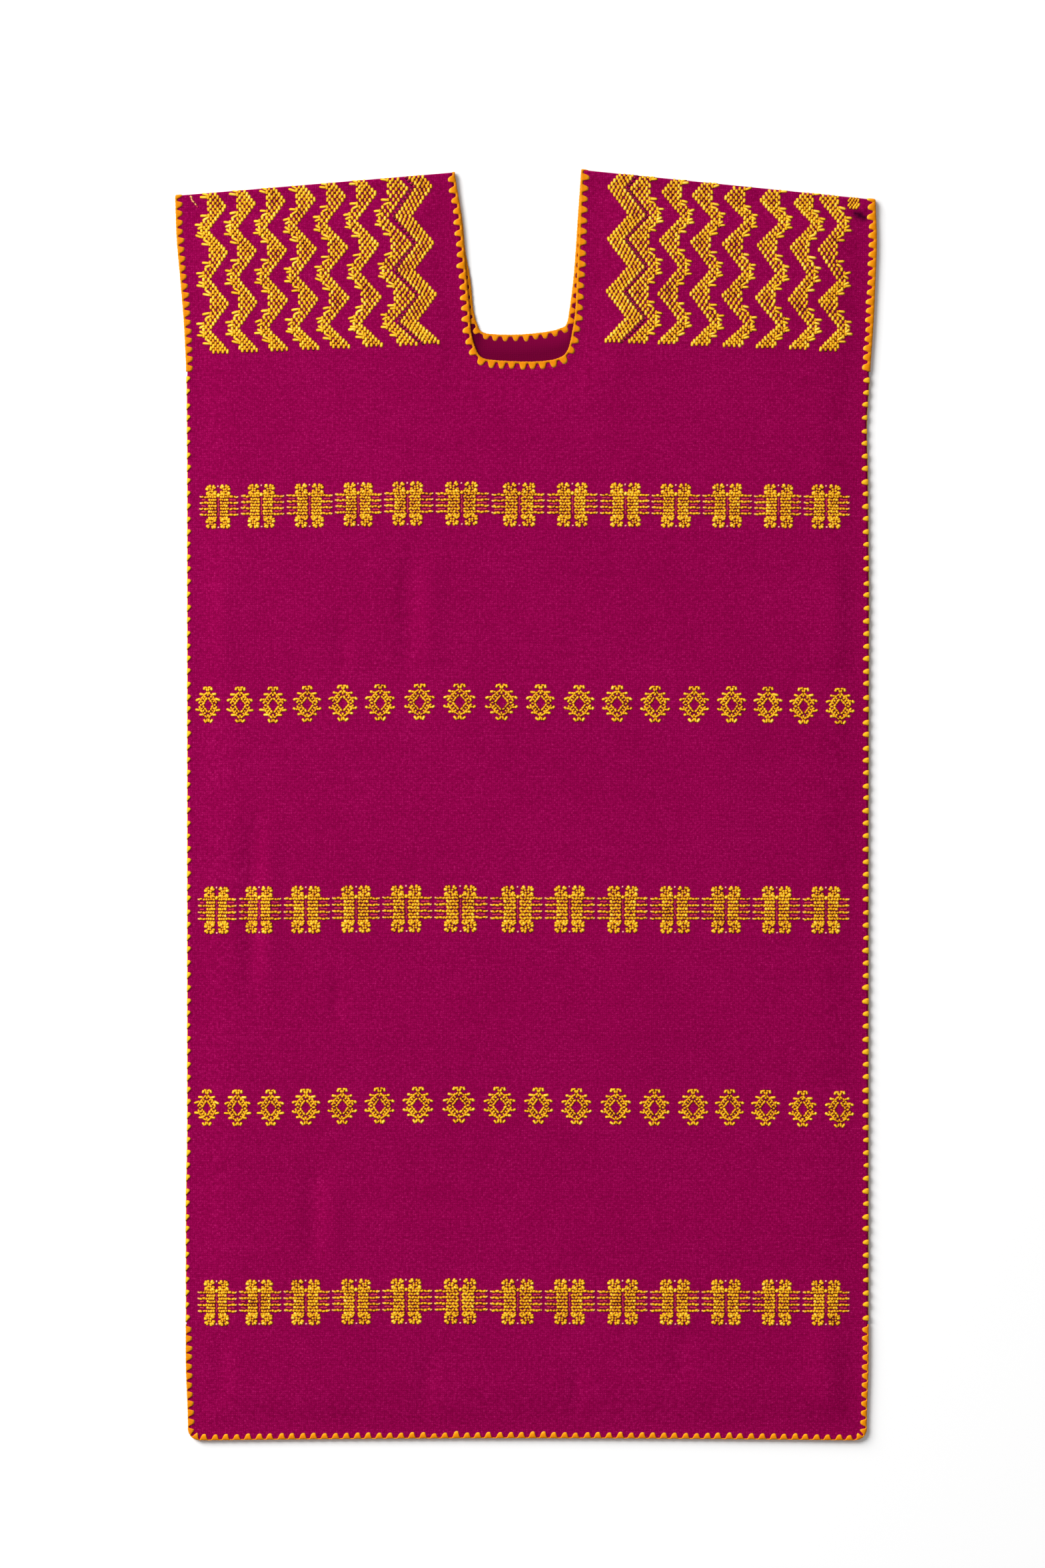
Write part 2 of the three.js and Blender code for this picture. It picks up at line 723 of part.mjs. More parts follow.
function addSideSeams() {
  const section = plainSection(UNDER_LIFT, WALL * 2 + LAYER_GAP + SEAM_RISE, SEAM_CORD);
  for (const side of ["left", "right"]) {
    const up = outermost(side);
    const line = clipByHeight(side === "right" ? up.reverse() : up, SLIT_TOP + 1, ARMHOLE_END);
    const strip = stripGeometry(stationsAlong(line, PITCH.none), section);
    addPiece(`side_seam_${side}`, strip, materials.seam);
  }
}

// Down the right slit, along the hem and up the left slit.
function hemStretches(edges, slitPitch, hemPitch) {
  const start = edges.left[0].y;
  const down = edges.right.slice().reverse();
  return [
    { points: clipByHeight(down, start, SLIT_TOP), pitch: slitPitch },
    { points: edges.hem, pitch: hemPitch },
    { points: clipByHeight(edges.left, start, SLIT_TOP), pitch: slitPitch },
  ];
}

function addHemEdging() {
  const frontLine = joinStretches(hemStretches(frontEdges, PITCH.slit, PITCH.hem));
  const backLine = joinStretches(hemStretches(backEdges, PITCH.none, PITCH.none));
  const frontStrip = stripGeometry(frontLine, lappedSection(aboveBack, frontTop));
  const backStrip = stripGeometry(backLine, plainSection(UNDER_LIFT, WALL, RAIL));
  addPiece("hem_edging_front", frontStrip, materials.edging);
  addPiece("hem_edging_back", backStrip, materials.edging);
}

addCloth();
addNeckEdging();
addBackNeckEdging();
addArmholeEdging();
addSideSeams();
addHemEdging();

// The origin is the middle of the underside of the whole part's box.
const box = new THREE.Box3().setFromObject(kaftan);
const middle = box.getCenter(new THREE.Vector3());
kaftan.position.set(-middle.x, -middle.y, -box.min.z);

export default kaftan;
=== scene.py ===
"""A long sleeveless kaftan laid flat: handwoven cotton with raised brocade and stitched edging.

The kaftan is one web of cloth folded at the shoulders. Sizes are in millimetres in the web's own
plan, X across and Y from hem to shoulder, and turn to metres when a mesh is made.
"""

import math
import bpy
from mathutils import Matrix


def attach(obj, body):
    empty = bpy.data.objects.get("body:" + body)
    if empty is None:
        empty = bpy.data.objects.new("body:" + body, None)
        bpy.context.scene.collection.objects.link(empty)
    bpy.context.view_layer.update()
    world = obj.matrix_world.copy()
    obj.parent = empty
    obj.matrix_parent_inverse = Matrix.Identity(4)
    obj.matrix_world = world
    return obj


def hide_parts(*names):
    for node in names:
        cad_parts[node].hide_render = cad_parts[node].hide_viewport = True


bl_info = {
    "name": "Handwoven Kaftan",
    "version": (1, 0, 0),
    "blender": (4, 5, 0),
    "location": "View3D > Sidebar > Kaftan",
    "description": "Builds a brocaded cotton kaftan laid flat, with its stitched edging and its stage",
    "category": "Add Mesh",
}

import bpy
import numpy as np
from mathutils import Vector

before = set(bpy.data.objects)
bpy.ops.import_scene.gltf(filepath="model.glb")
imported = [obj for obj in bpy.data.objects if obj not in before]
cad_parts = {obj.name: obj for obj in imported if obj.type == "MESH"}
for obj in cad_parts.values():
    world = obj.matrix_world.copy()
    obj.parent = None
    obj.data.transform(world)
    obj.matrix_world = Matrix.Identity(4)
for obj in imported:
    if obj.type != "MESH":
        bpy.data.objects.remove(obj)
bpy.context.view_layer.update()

MM = 0.001
BODY = "root"

# Where each piece's random draws start
SEEDS = {
    "sides": 5, "yoke": 11, "butterflies": 31, "diamonds": 41, "neck": 61, "armholes": 71, "hem": 91,
}

# The solid's sizes that the cloth and its stitching keep to
WALL = 1.1
LAYER_GAP = 0.4
FOLD_GAP = 1.2
FOLD_RISE = 22
FOLD_REACH = 1.7
EDGE_INSET = 2.0
HEM_LOW = -666.75
HEM_LIFT = 2.2
HEM_CORNER_X = 330
CORNER_RADIUS = 11
NECK_ROW = 480
BACK_NECK_ROW = 505
ARMHOLE_END = 453
SLIT_TOP = -545
BORDER = 9.5
PUFF = 1.7
FADE = 40

# Outer edge of the stitching on each side: height, place
LEFT_SIDE = [
    (-645, -355), (-590, -357.4), (-415, -357.4), (-345, -356), (355, -356),
    (453, -356.7), (509, -359.5), (565, -364.4), (593, -367.2), (640, -368.6),
]
RIGHT_SIDE = [
    (-645, 357.5), (-590, 359.5), (-20, 359.5), (215, 360.2), (355, 358.8),
    (397, 357.4), (453, 360.9), (509, 365), (593, 368.6), (636, 366.5),
]

# The shoulder fold: place, height
SHOULDER = [(-368.6, 639.5), (-76.7, 664), (57.8, 666.75), (366.5, 635.3)]

# Inner edge of the neck's stitching, down the left side, along the bottom and up the right: place, height
NECK_FRONT = [
    (-75.2, 664), (-67.9, 614), (-62.4, 551), (-59.4, 520), (-57.8, 497), (-53.1, 479.5),
    (-46.8, 470), (-34.3, 467), (-3.2, 465.4), (20.4, 466.2), (36, 470),
    (43.8, 478), (48.5, 497), (51.7, 520), (53.2, 551), (54.7, 583), (57.8, 667),
]
NECK_BACK = [
    (-75.2, 664), (-67, 614), (-64, 583), (-58.5, 551), (-55.4, 520), (-51.5, 505),
    (-46.8, 497), (-34.3, 494.3), (-7.8, 494), (20.4, 496.7), (36, 500.6),
    (42.4, 505.3), (45.4, 520), (49.4, 551), (52, 583), (54, 614), (57.8, 667),
]

# Soft folds in the front: place, height, length, width, rise (a trough is negative), lean in degrees
FOLDS = [
    (-124, 203, 170, 22, -1.4, 1), (-100, 205, 150, 24, 0.9, 1), (-194, 174, 80, 18, -1.1, -2),
    (-287, -106, 240, 20, -1.8, 0.5), (-271, -106, 220, 20, 1.4, 0.5), (-198, -205, 70, 16, -0.9, 4),
    (-224, -431, 125, 20, -1.6, -1), (-203, -428, 110, 22, 0.9, -1), (-104, -608, 84, 20, -1.2, 2),
    (53, -612, 66, 18, -1.1, -3), (-322, -596, 110, 18, -1.8, 1), (163, -580, 78, 20, -1.0, 2),
    (330, 212, 160, 26, 1.6, 1), (-322, 196, 150, 26, 1.4, -1), (322, -598, 120, 40, 1.9, -8),
    (210, 60, 300, 60, 0.9, 3), (120, -260, 320, 70, 0.8, -4), (348, 622, 36, 12, -0.9, 48),
]

# Creases that run out at an edge: place, height, length, width, rise, lean in degrees
EDGE_CREASES = [
    (351, 619.5, 22, 8, -1.0, -62), (354, 626, 26, 10, 1.4, -62), (-361, 610, 60, 10, 0.7, 3),
]

# A fold keeps its full height up to this share of its length, then eases out. A crease starts a
# little inside the edge, reaches full height further in, and never dips lower than its least depth.
FOLD_FULL = 0.35
CREASE_CLEAR = 3
CREASE_EASE = 8
CREASE_DEEPEST = -0.3

# The shell in this scene: its own thickness, and the height of the back's outer face
SHELL = 0.8
BACK_FACE = 0.35
FRONT_AT_FOLD = 2 * WALL + FOLD_GAP
FOLD_RADIUS = (FRONT_AT_FOLD - BACK_FACE) / 2
FOLD_CENTRE = BACK_FACE + FOLD_RADIUS
QUARTER_TURN = math.pi * FOLD_RADIUS / 2

# How far the cloth itself lies inside the outline where it is whip-stitched, at the slits and at the
# hem, and the height over which one inset turns to the next
SEAM_INSET = 0.8
SLIT_INSET = 0.9
HEM_INSET = 1.2
INSET_BLEND = 12

# How much the back's stitches are pressed flat by what lies on them, how low anything comes, and the
# least radius on the fold
UNDERSIDE_PRESS = 0.35
LOWEST = 0.03
LEAST_RADIUS = 0.05

# Brocade: the distance between floats across the web and rows in a zigzag
FLOAT_SPACING = 4.83
ROWS_A_ZIGZAG = 16
TIP_INSET = 1.5

# Rows of a thin zigzag from the notch to the tip: upright floats, and where a row ends in a lying
# float like a fringe, its middle, half its length and its tilt
THIN_ROWS = [
    (2, 0, 0, 0), (2, 10.6, 3.6, 0.45), (3, 14.8, 4.1, 0.06), (3, 0, 0, 0), (2, 11.4, 3.8, 0.45),
    (3, 15.9, 4.2, 0.1), (3, 0, 0, 0), (4, 0, 0, 0), (4, 0, 0, 0),
]
THICK_ROWS = [(4, 0, 0, 0)] * 9
THICK_SPACING = 0.87

# How slim the float at each end of a row is, half the width of a fringe float, and how much upright
# floats lean along the zigzag
END_SLIMNESS = 0.9
FRINGE_HALF_WIDTH = 1.2
LEAN = 0.1

# Rows that run on over the fold, the height between them, and the least run down from the crest
ROWS_OVER_FOLD = 12
FOLD_ROW_PITCH = 3.2
LEAST_RUN = 1.2

# The dark line beside the thick zigzag, a painted shadow, and the red specks outside it: distance
# out from the last float or from the line, half length, half width and rise of each float, and the
# line's slope
SHADOW_LINE = (2.9, 3.0, 1.15, 0.3)
RED_SPECKS = (1.5, 1.2, 0.4, 0.35)
LINE_SLOPE = 0.72

# Zigzag columns of the yoke, from the arm to the neck: place of their tips at the top, in the middle
# and at the bottom, how far their notches lie behind the tips, and heights from tip to notch to tip
LEFT_ZIGZAGS = [
    (-314.6, -311.8, -311.8, 20.2, (627.9, 602.3, 579.6, 550.9, 525.7, 498.1, 475.7)),
    (-283.8, -282, -281, 20.6, (631.0, 604.4, 581.3, 553.3, 527.5, 499.4, 477.0)),
    (-252.3, -250.1, -249.5, 21.5, (633.8, 605.5, 581.9, 554.0, 529.3, 500.5, 478.4)),
    (-220.8, -218.7, -216.6, 22, (635.4, 607.2, 583.1, 555.4, 530.2, 501.5, 479.5)),
    (-188.6, -185.8, -184.4, 22.8, (638.4, 609.3, 584.8, 557.5, 531.6, 503.7, 480.9)),
    (-157.1, -152.5, -150.1, 22.8, (641.9, 612.1, 587.3, 558.9, 532.7, 504.3, 482.6)),
    (-123.6, -118.2, -113.6, 25.0, (646.6, 615.3, 588.6, 560.3, 534.2, 507.2, 483.7)),
    (-98.3, -95.5, -90.6, 22.8, (649.2, 617.4, 589.7, 561.0, 535.5, 507.1, 485.8)),
]
RIGHT_ZIGZAGS = [
    (307.5, 305.6, 307.6, 22, (636.0, 609.5, 582.4, 549.5, 528.1, 499.5, 478.1)),
    (281, 274.2, 276.1, 21.8, (631.4, 609.4, 584.8, 556.1, 530.2, 501.5, 479.8)),
    (245.3, 239.9, 241.1, 23.5, (634.2, 611.4, 587.0, 557.2, 532.0, 502.6, 481.2)),
    (208.2, 204.5, 206.1, 24, (637.0, 612.8, 588.3, 558.9, 533.8, 503.7, 482.3)),
    (174.6, 171.2, 172.5, 22.9, (639.8, 613.9, 590.1, 561.4, 535.9, 505.4, 483.7)),
    (142.4, 138.3, 138.2, 22.8, (643.0, 617.0, 592.2, 563.8, 536.5, 507.8, 485.4)),
    (109.4, 107.7, 106.8, 22.8, (646.8, 618.1, 593.6, 564.2, 538.6, 508.9, 486.1)),
    (85.8, 84.8, 82.2, 22.5, (648.2, 618.6, 593.5, 564.5, 538.6, 511.0, 487.2)),
]

# Bands of motifs across the body: height and row pitch of each band of butterflies
BUTTERFLY_BANDS = [(314.5, 3.13), (-109.6, 3.42), (-521.4, 3.27)]

# Each butterfly: its place in the first band and in the other two, half its width, and how far it
# stands above its band's height
BUTTERFLIES = [
    (-323.1, -324.8, 13.7, -1.8), (-277.6, -280, 15, -1), (-227.2, -231, 16.4, -0.4),
    (-176.1, -178.3, 16.4, 0.7), (-124.3, -125.7, 17.2, 1.6), (-67.6, -69, 18.5, 1.6),
    (-7, -8.8, 18.4, 0.5), (48.7, 45.6, 17.2, 0.4), (104.3, 101.5, 17.2, 0.1),
    (157.2, 156.3, 17, -0.5), (211.1, 209.8, 16.6, -0.6), (265, 263, 16.4, -1.1), (315, 314.7, 16.2, -1.6),
]
DIAMOND_HEIGHTS = [106.4, -316.4]

# Each diamond: its place in each band, half its width and how far it stands above its band's height
DIAMONDS = [
    (-333.9, -335, 12.8, -1.6), (-300, -302.8, 14, -1.8), (-265.3, -267.8, 14.2, -1.8),
    (-229.6, -231, 15, -0.9), (-192.2, -192.9, 15.4, 0), (-153, -153.7, 15.8, 0.6),
    (-111.7, -113.4, 16.3, 1.3), (-69.7, -70.4, 17.2, 1.5), (-25.6, -27.7, 17.2, 1.1),
    (15.4, 13, 15.2, 0.5), (55.7, 52.9, 16.1, -0.2), (95.6, 94.2, 16.1, -0.5),
    (135.5, 134.8, 15.8, -1.2), (176.4, 175.4, 15.9, -1.2), (215.6, 213.5, 15.4, -1.4),
    (253.8, 251.3, 15.2, -1.9), (291.2, 290.2, 15, -2.8), (329.7, 329, 15.4, -3.3),
]

# One wing of a butterfly on the right of its middle. Its waist: count of rows, height of the first in
# row pitches, where the floats of a row start and end, how far every other row slips in, how much
# the floats fan out and turn, how far each overlaps the next, and half its width in row pitches.
WAIST_ROWS = 8
WAIST_TOP = 3.33
WAIST_FLOATS = [(1.8, 4.9), (4.7, 7.6), (7.4, 10.2), (10.0, 12.8)]
WAIST_SLIP = 1.2
WAIST_FAN = 0.1
WAIST_TURN = 0.5
WAIST_OVERLAP = 0.1
WAIST_WIDTH = 0.38

# Its round lobe as rings of floats, the outer one first: radius, count, half length and half width
# of each float and the share of a step at which the ring starts
LOBE_MIDDLE = (8.0, 5.5)
LOBE_RINGS = [(4.4, 10, 1.85, 1.4, 0.25), (1.5, 4, 1.35, 1.2, 0.65)]
LOBE_SQUARE = 0.58
LOBE_RISE = 0.8

# The floats that join a lobe to the waist: place, height in row pitches and tilt, then their half
# length and half width. On a wider butterfly, those nearer the middle than the last value don't move.
LOBE_ROOT = [(3.1, 4.3, 0.9), (6.3, 4.15, -0.3), (9.5, 4.2, 0.4), (12.5, 4.3, -0.9)]
ROOT_SIZE = (1.8, 1.15)
ROOT_FIXED = 4
BUTTERFLY_HALF = 15

# Whiskers from a butterfly towards the next: where they start, how far before the middle of the gap
# they end, length and width of their floats, their wavering and how it differs from one to the next,
# and the worn end's half length, half width and share of the rise
WHISKER_FROM = 12.6
WHISKER_CLEAR = 2.6
WHISKER_FLOAT = (3.6, 2.4)
WHISKER_WAVER = 0.3
WHISKER_PHASE = 1.3
WORN_END = (1.5, 0.85)
WORN_RISE = 0.9

# Red specks under the upper whiskers: where they start as a part that widens with the butterfly and
# one that doesn't, how far short of the whisker they end, and their length, width and rise
SPECKS_FROM = (13.4, 0.5)
SPECKS_CLEAR = 1
SPECK_FLOAT = (4.0, 1.3, 0.3)

# Room beside the first and the last butterfly
OUTER_GAPS = (42.0, 52.0)

# How far the second and third band follow the first one's rise and fall
LATER_LIFT = 0.5

# A diamond's strokes on its right, off its middle: its ring in two lines, its fingers and its hooks,
# and the rungs that join the ring's lines
DIAMOND_STROKES = [
    [(0.9, 7.7), (6.3, 0.6)],
    [(6.3, -0.6), (0.9, -7.7)],
    [(0.6, 13.4), (4.4, 10.7), (8.2, 6.2), (10.8, 1.5)],
    [(10.8, -1.5), (8.2, -6.2), (4.4, -10.7), (0.6, -13.2)],
    [(5.2, 11), (10, 11.6)],
    [(9.2, 6), (11.8, 6), (14.3, 4.6)],
    [(9.6, -4.8), (12.4, -5.2), (14.3, -3.8)],
    [(5, -9.8), (10, -10.4)],
    [(0.5, 14.6), (1.8, 18.6), (4.2, 18.2), (5, 15.9)],
    [(0.5, -14.2), (1.6, -17.2), (3.7, -16.9), (4.9, -15)],
]
UPPER_RUNGS = [
    [(0.1, 9.4), (0.1, 12.4)], [(2.9, 7.8), (4.7, 9.7)], [(4.4, 5.3), (6.7, 7.2)], [(6.1, 2.9), (8.7, 4.4)],
]
LOWER_RUNGS = [[(x, -y) for x, y in rung] for rung in reversed(UPPER_RUNGS)]
DIAMOND_RUNGS = [*UPPER_RUNGS, [(7, 0), (10, 0)], *LOWER_RUNGS]
DIAMOND_HALF = 15

# The first strokes are the ring's, whose floats are skewed to and fro. Then a float's length and half
# width in a stroke, and half its width and its share of the rise in a rung.
RING_STROKES = 4
RING_SKEW = 0.12
STROKE_LENGTH = 3.3
STROKE_HALF_WIDTH = 1.12
RUNG_HALF_WIDTH = 1.0
RUNG_RISE = 0.85

# The blanket stitch along each kind of edge: pitch, length and half the width of a stitch, how far
# its rail reaches onto the cloth and out from it, which way each stitch is steep, down and right, and
# how much longer the pitch is where the edge runs up and down. The yarn's strands are drawn as coarse
# as they need to be to show.
NECK_STITCH = (10.85, 6.0, 3.5, 0.2, 2.0, 0.8, 0, 0.65)
NECK_BACK_STITCH = (10.5, 4.6, 3.1, 0.4, 2.0, 0, 0, 0)
LEFT_ARMHOLE_STITCH = (9.65, 5.3, 3.5, 0.1, 2.0, -1, 0, 0)
RIGHT_ARMHOLE_STITCH = (9.8, 5.4, 3.5, 1.1, 2.0, 0.8, 0, 0)
SLIT_STITCH = (9.9, 5.4, 3.5, 0.1, 0.9, -0.8, 0, 0)
HEM_STITCH = (11.5, 5.6, 3.4, -0.5, 1.2, 0, 0.8, 0)
STRAND_PITCH = 1.15


class KaftanCloth(bpy.types.PropertyGroup):
    thread_pitch: bpy.props.FloatProperty(
        name="Thread pitch", description="Distance between the cotton threads that show",
        default=0.00224, unit="LENGTH",
    )


class KaftanBrocade(bpy.types.PropertyGroup):
    float_height: bpy.props.FloatProperty(
        name="Float height", description="How far a brocade float stands above the ground cloth",
        default=0.0008, unit="LENGTH",
    )
    float_width: bpy.props.FloatProperty(
        name="Float width", description="Width of one brocade float",
        default=0.0029, unit="LENGTH",
    )
    float_length: bpy.props.FloatProperty(
        name="Float length", description="Length of one brocade float",
        default=0.0049, unit="LENGTH",
    )


class KaftanEdging(bpy.types.PropertyGroup):
    thread_height: bpy.props.FloatProperty(
        name="Thread height", description="How far the stitching stands above the cloth",
        default=0.001, unit="LENGTH",
    )
    unevenness: bpy.props.FloatProperty(
        name="Unevenness", description="How much the length of the stitches varies", default=0.07, min=0.0,
    )
    whip_pitch: bpy.props.FloatProperty(
        name="Whip pitch", description="Distance between the whip stitches that close the sides",
        default=0.0133, unit="LENGTH",
    )


class KaftanStage(bpy.types.PropertyGroup):
    lens: bpy.props.FloatProperty(
        name="Lens", description="Focal length of the camera in millimetres", default=85.0,
    )
    view_height: bpy.props.FloatProperty(
        name="View height", description="Height of the picture at the cloth", default=1.6464, unit="LENGTH",
    )
    key_strength: bpy.props.FloatProperty(
        name="Key light", description="Strength of the soft light from the upper left", default=4.25, min=0.0,
    )
    lamp_power: bpy.props.FloatProperty(
        name="Corner lamp", description="Power of the lamp that makes the upper left brighter",
        default=34.0, unit="POWER",
    )
    key_softness: bpy.props.FloatProperty(
        name="Key softness", description="Angle that the soft light fills", default=0.65, subtype="ANGLE",
    )
    sky: bpy.props.FloatProperty(
        name="Sky", description="Strength of the even light all round", default=0.31, min=0.0,
    )


# Curves and heights of the web


def table(rows):
    return np.array(rows, dtype=float)


def along_line(points, gone, at):
    """Points on a line of points at the given lengths along it."""
    return np.column_stack([np.interp(at, gone, points[:, 0]), np.interp(at, gone, points[:, 1])])


def soft_interp(at, rows, reach=14.0):
    """A table's value, eased round its corners by averaging over a short reach."""
    rows = table(rows)
    shifts = np.linspace(-reach, reach, 5)
    return sum(np.interp(at + shift, rows[:, 0], rows[:, 1]) for shift in shifts) / len(shifts)


def hem_line(x):
    return HEM_LOW + HEM_INSET + HEM_LIFT * (1 - np.minimum(np.abs(x) / HEM_CORNER_X, 1) ** 2)


def rounded_corner(rise):
    inside = np.clip(CORNER_RADIUS - rise, 0, CORNER_RADIUS)
    return CORNER_RADIUS - np.sqrt(CORNER_RADIUS**2 - inside**2)


def ease(value):
    t = np.clip(value, 0, 1)
    return t * t * (3 - 2 * t)


def side_inset(y):
    low = SLIT_INSET + (SEAM_INSET - SLIT_INSET) * ease((y - SLIT_TOP) / INSET_BLEND + 0.5)
    return low + (EDGE_INSET - low) * ease((y - ARMHOLE_END) / INSET_BLEND + 0.5)


def left_edge(y):
    return soft_interp(y, LEFT_SIDE) + side_inset(y) + rounded_corner(y - hem_line(HEM_CORNER_X))


def right_edge(y):
    return soft_interp(y, RIGHT_SIDE) - side_inset(y) - rounded_corner(y - hem_line(HEM_CORNER_X))


def shoulder_line(x):
    rows = table(SHOULDER)
    slope_in = (rows[1, 1] - rows[0, 1]) / (rows[1, 0] - rows[0, 0])
    slope_out = (rows[3, 1] - rows[2, 1]) / (rows[3, 0] - rows[2, 0])
    line = np.interp(x, rows[:, 0], rows[:, 1])
    line = line + np.minimum(x - rows[0, 0], 0) * slope_in
    return line + np.maximum(x - rows[3, 0], 0) * slope_out


def fold_foot(x):
    """Height at which the front starts to turn over the shoulder."""
    return shoulder_line(x) - FOLD_REACH


def smooth_line(points, step=1.0):
    """A curve through the points, as points a step apart."""
    p = table(points)
    ends = np.vstack([2 * p[0] - p[1], p, 2 * p[-1] - p[-2]])
    pieces = []
    for k in range(len(p) - 1):
        a, b, c, d = ends[k : k + 4]
        count = max(int(np.linalg.norm(c - b) / step), 2)
        t = np.linspace(0, 1, count, endpoint=False)[:, None]
        pieces.append(
            0.5 * (2 * b + (c - a) * t + (2 * a - 5 * b + 4 * c - d) * t**2 + (3 * b - a - 3 * c + d) * t**3)
        )
    return resample(np.vstack([*pieces, p[-1:]]), step)


def resample(points, step):
    return spread(points, max(int(round(lengths(points)[-1] / step)), 1))


def spread(points, count):
    gone = lengths(points)
    return along_line(points, gone, np.linspace(0, gone[-1], count + 1))


def lengths(points):
    steps = np.linalg.norm(np.diff(points, axis=0), axis=1)
    return np.concatenate([[0], np.cumsum(steps)])


def left_normals(points):
    """Unit normals on the left of travel."""
    run = np.gradient(points, axis=0)
    run /= np.linalg.norm(run, axis=1)[:, None]
    return np.column_stack([-run[:, 1], run[:, 0]])


def neck_edge(points):
    """The cloth's own edge at the neck, which lies behind the stitching."""
    line = smooth_line(points)
    return line - left_normals(line) * EDGE_INSET


FRONT_NECK = neck_edge(NECK_FRONT)
BACK_NECK = neck_edge(NECK_BACK)


def distance_to(x, y, line):
    """How far each point is from a line of points, of which every sixth is enough."""
    marks = line[::6]
    return np.sqrt(((x[..., None] - marks[:, 0]) ** 2 + (y[..., None] - marks[:, 1]) ** 2).min(axis=-1))


def fold_heights(x, y, folds):
    total = np.zeros_like(x)
    for place, height, length, width, rise, lean in folds:
        turn = math.radians(lean)
        across = (x - place) * math.cos(turn) - (y - height) * math.sin(turn)
        along = (x - place) * math.sin(turn) + (y - height) * math.cos(turn)
        run = ease(1 - np.maximum(np.abs(along) * 2 / length - FOLD_FULL, 0) / (1 - FOLD_FULL))
        total += rise * np.exp(-((across / (width / 2)) ** 2)) * run
    return total


def relief(x, y):
    """How far the front stands above lying flat on the back."""
    clear = np.minimum.reduce([
        x - left_edge(y), right_edge(y) - x, y - hem_line(x), shoulder_line(x) - y,
        distance_to(x, y, FRONT_NECK),
    ])
    inner = ease((clear - BORDER) / FADE) * np.maximum(PUFF + fold_heights(x, y, FOLDS), 0)
    creases = np.maximum(fold_heights(x, y, EDGE_CREASES), CREASE_DEEPEST)
    return inner + ease((clear - CREASE_CLEAR) / CREASE_EASE) * creases


# Corners of the plan that the relief is worked out for, and the distance between its points
RELIEF_LOW = (-372.0, -670.0)
RELIEF_HIGH = (372.0, 672.0)
RELIEF_STEP = 3.0


class ReliefMap:
    """The relief worked out once on an even grid and read between its points."""

    def __init__(self):
        across, up = (
            np.arange(low, high + RELIEF_STEP, RELIEF_STEP) for low, high in zip(RELIEF_LOW, RELIEF_HIGH)
        )
        self.values = relief(*np.meshgrid(across, up))

    def __call__(self, x, y):
        rows, columns = self.values.shape
        short = 1.001  # ends just before the last point, so that there is always a next one
        u = np.clip((x - RELIEF_LOW[0]) / RELIEF_STEP, 0, columns - short)
        v = np.clip((y - RELIEF_LOW[1]) / RELIEF_STEP, 0, rows - short)
        i, j = u.astype(int), v.astype(int)
        fu, fv = u - i, v - j
        near = self.values[j, i] * (1 - fu) + self.values[j, i + 1] * fu
        far = self.values[j + 1, i] * (1 - fu) + self.values[j + 1, i + 1] * fu
        return near * (1 - fv) + far * fv


relief_at = ReliefMap()


def air_gap(x, y):
    share = (fold_foot(x) - y) / (FOLD_RISE - FOLD_REACH)
    return np.where(y < BACK_NECK_ROW, LAYER_GAP, FOLD_GAP + (LAYER_GAP - FOLD_GAP) * np.clip(share, 0, 1))


def front_face(x, y):
    """Height of the front's outer face."""
    return 2 * WALL + air_gap(x, y) + relief_at(x, y)


def on_web(x, run, height, crest):
    """A point on the web: its place across, how far it runs down from the crest of the shoulder
    fold (positive on the front, negative on the back) and how high it stands off the cloth."""
    flat_run = np.maximum(np.abs(run) - QUARTER_TURN, 0)
    y_flat = crest - FOLD_REACH - flat_run
    turn = np.clip(run / FOLD_RADIUS, -math.pi / 2, math.pi / 2)
    reach = np.maximum(FOLD_RADIUS + height, LEAST_RADIUS)
    on_fold = np.abs(run) < QUARTER_TURN
    y = np.where(on_fold, crest - FOLD_REACH + reach * np.cos(turn), y_flat)
    pressed = np.where(height > 0, height * UNDERSIDE_PRESS, height)
    z_flat = np.where(run > 0, front_face(x, y_flat) + height, BACK_FACE - pressed)
    z = np.where(on_fold, FOLD_CENTRE + reach * np.sin(turn), z_flat)
    return np.column_stack([x.ravel(), y.ravel(), np.maximum(z, LOWEST).ravel()])


# Meshes and materials


def new_piece(name, points, faces, materials, attributes=None, face_materials=None):
    """An object from points in millimetres and arrays of faces of like size."""
    mesh = bpy.data.meshes.new(name)
    counts = np.concatenate([np.full(len(f), f.shape[1]) for f in faces])
    corners = np.concatenate([f.ravel() for f in faces])
    mesh.vertices.add(len(points))
    mesh.vertices.foreach_set("co", (np.asarray(points) * MM).astype(np.float32).ravel())
    mesh.loops.add(len(corners))
    mesh.loops.foreach_set("vertex_index", corners.astype(np.int32))
    mesh.polygons.add(len(counts))
    starts = np.concatenate([[0], np.cumsum(counts)[:-1]])
    mesh.polygons.foreach_set("loop_start", starts.astype(np.int32))
    mesh.polygons.foreach_set("use_smooth", np.ones(len(counts), dtype=bool))
    for material in materials:
        mesh.materials.append(material)
    if face_materials is not None:
        mesh.polygons.foreach_set("material_index", face_materials.astype(np.int32))
    for key, values in (attributes or {}).items():
        layer = mesh.attributes.new(key, "FLOAT", "POINT")
        layer.data.foreach_set("value", np.asarray(values, dtype=np.float32))
    mesh.update(calc_edges=True)
    if mesh.validate():
        raise RuntimeError(f"{name} has faulty faces")
    piece = bpy.data.objects.new(name, mesh)
    bpy.context.scene.collection.objects.link(piece)
    return piece


def finish_piece(piece, slot, *nodes):
    """The piece rides on the kaftan's body and stands for its solids. Its slot is not used."""
    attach(piece, BODY)
    if nodes:
        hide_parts(*nodes)


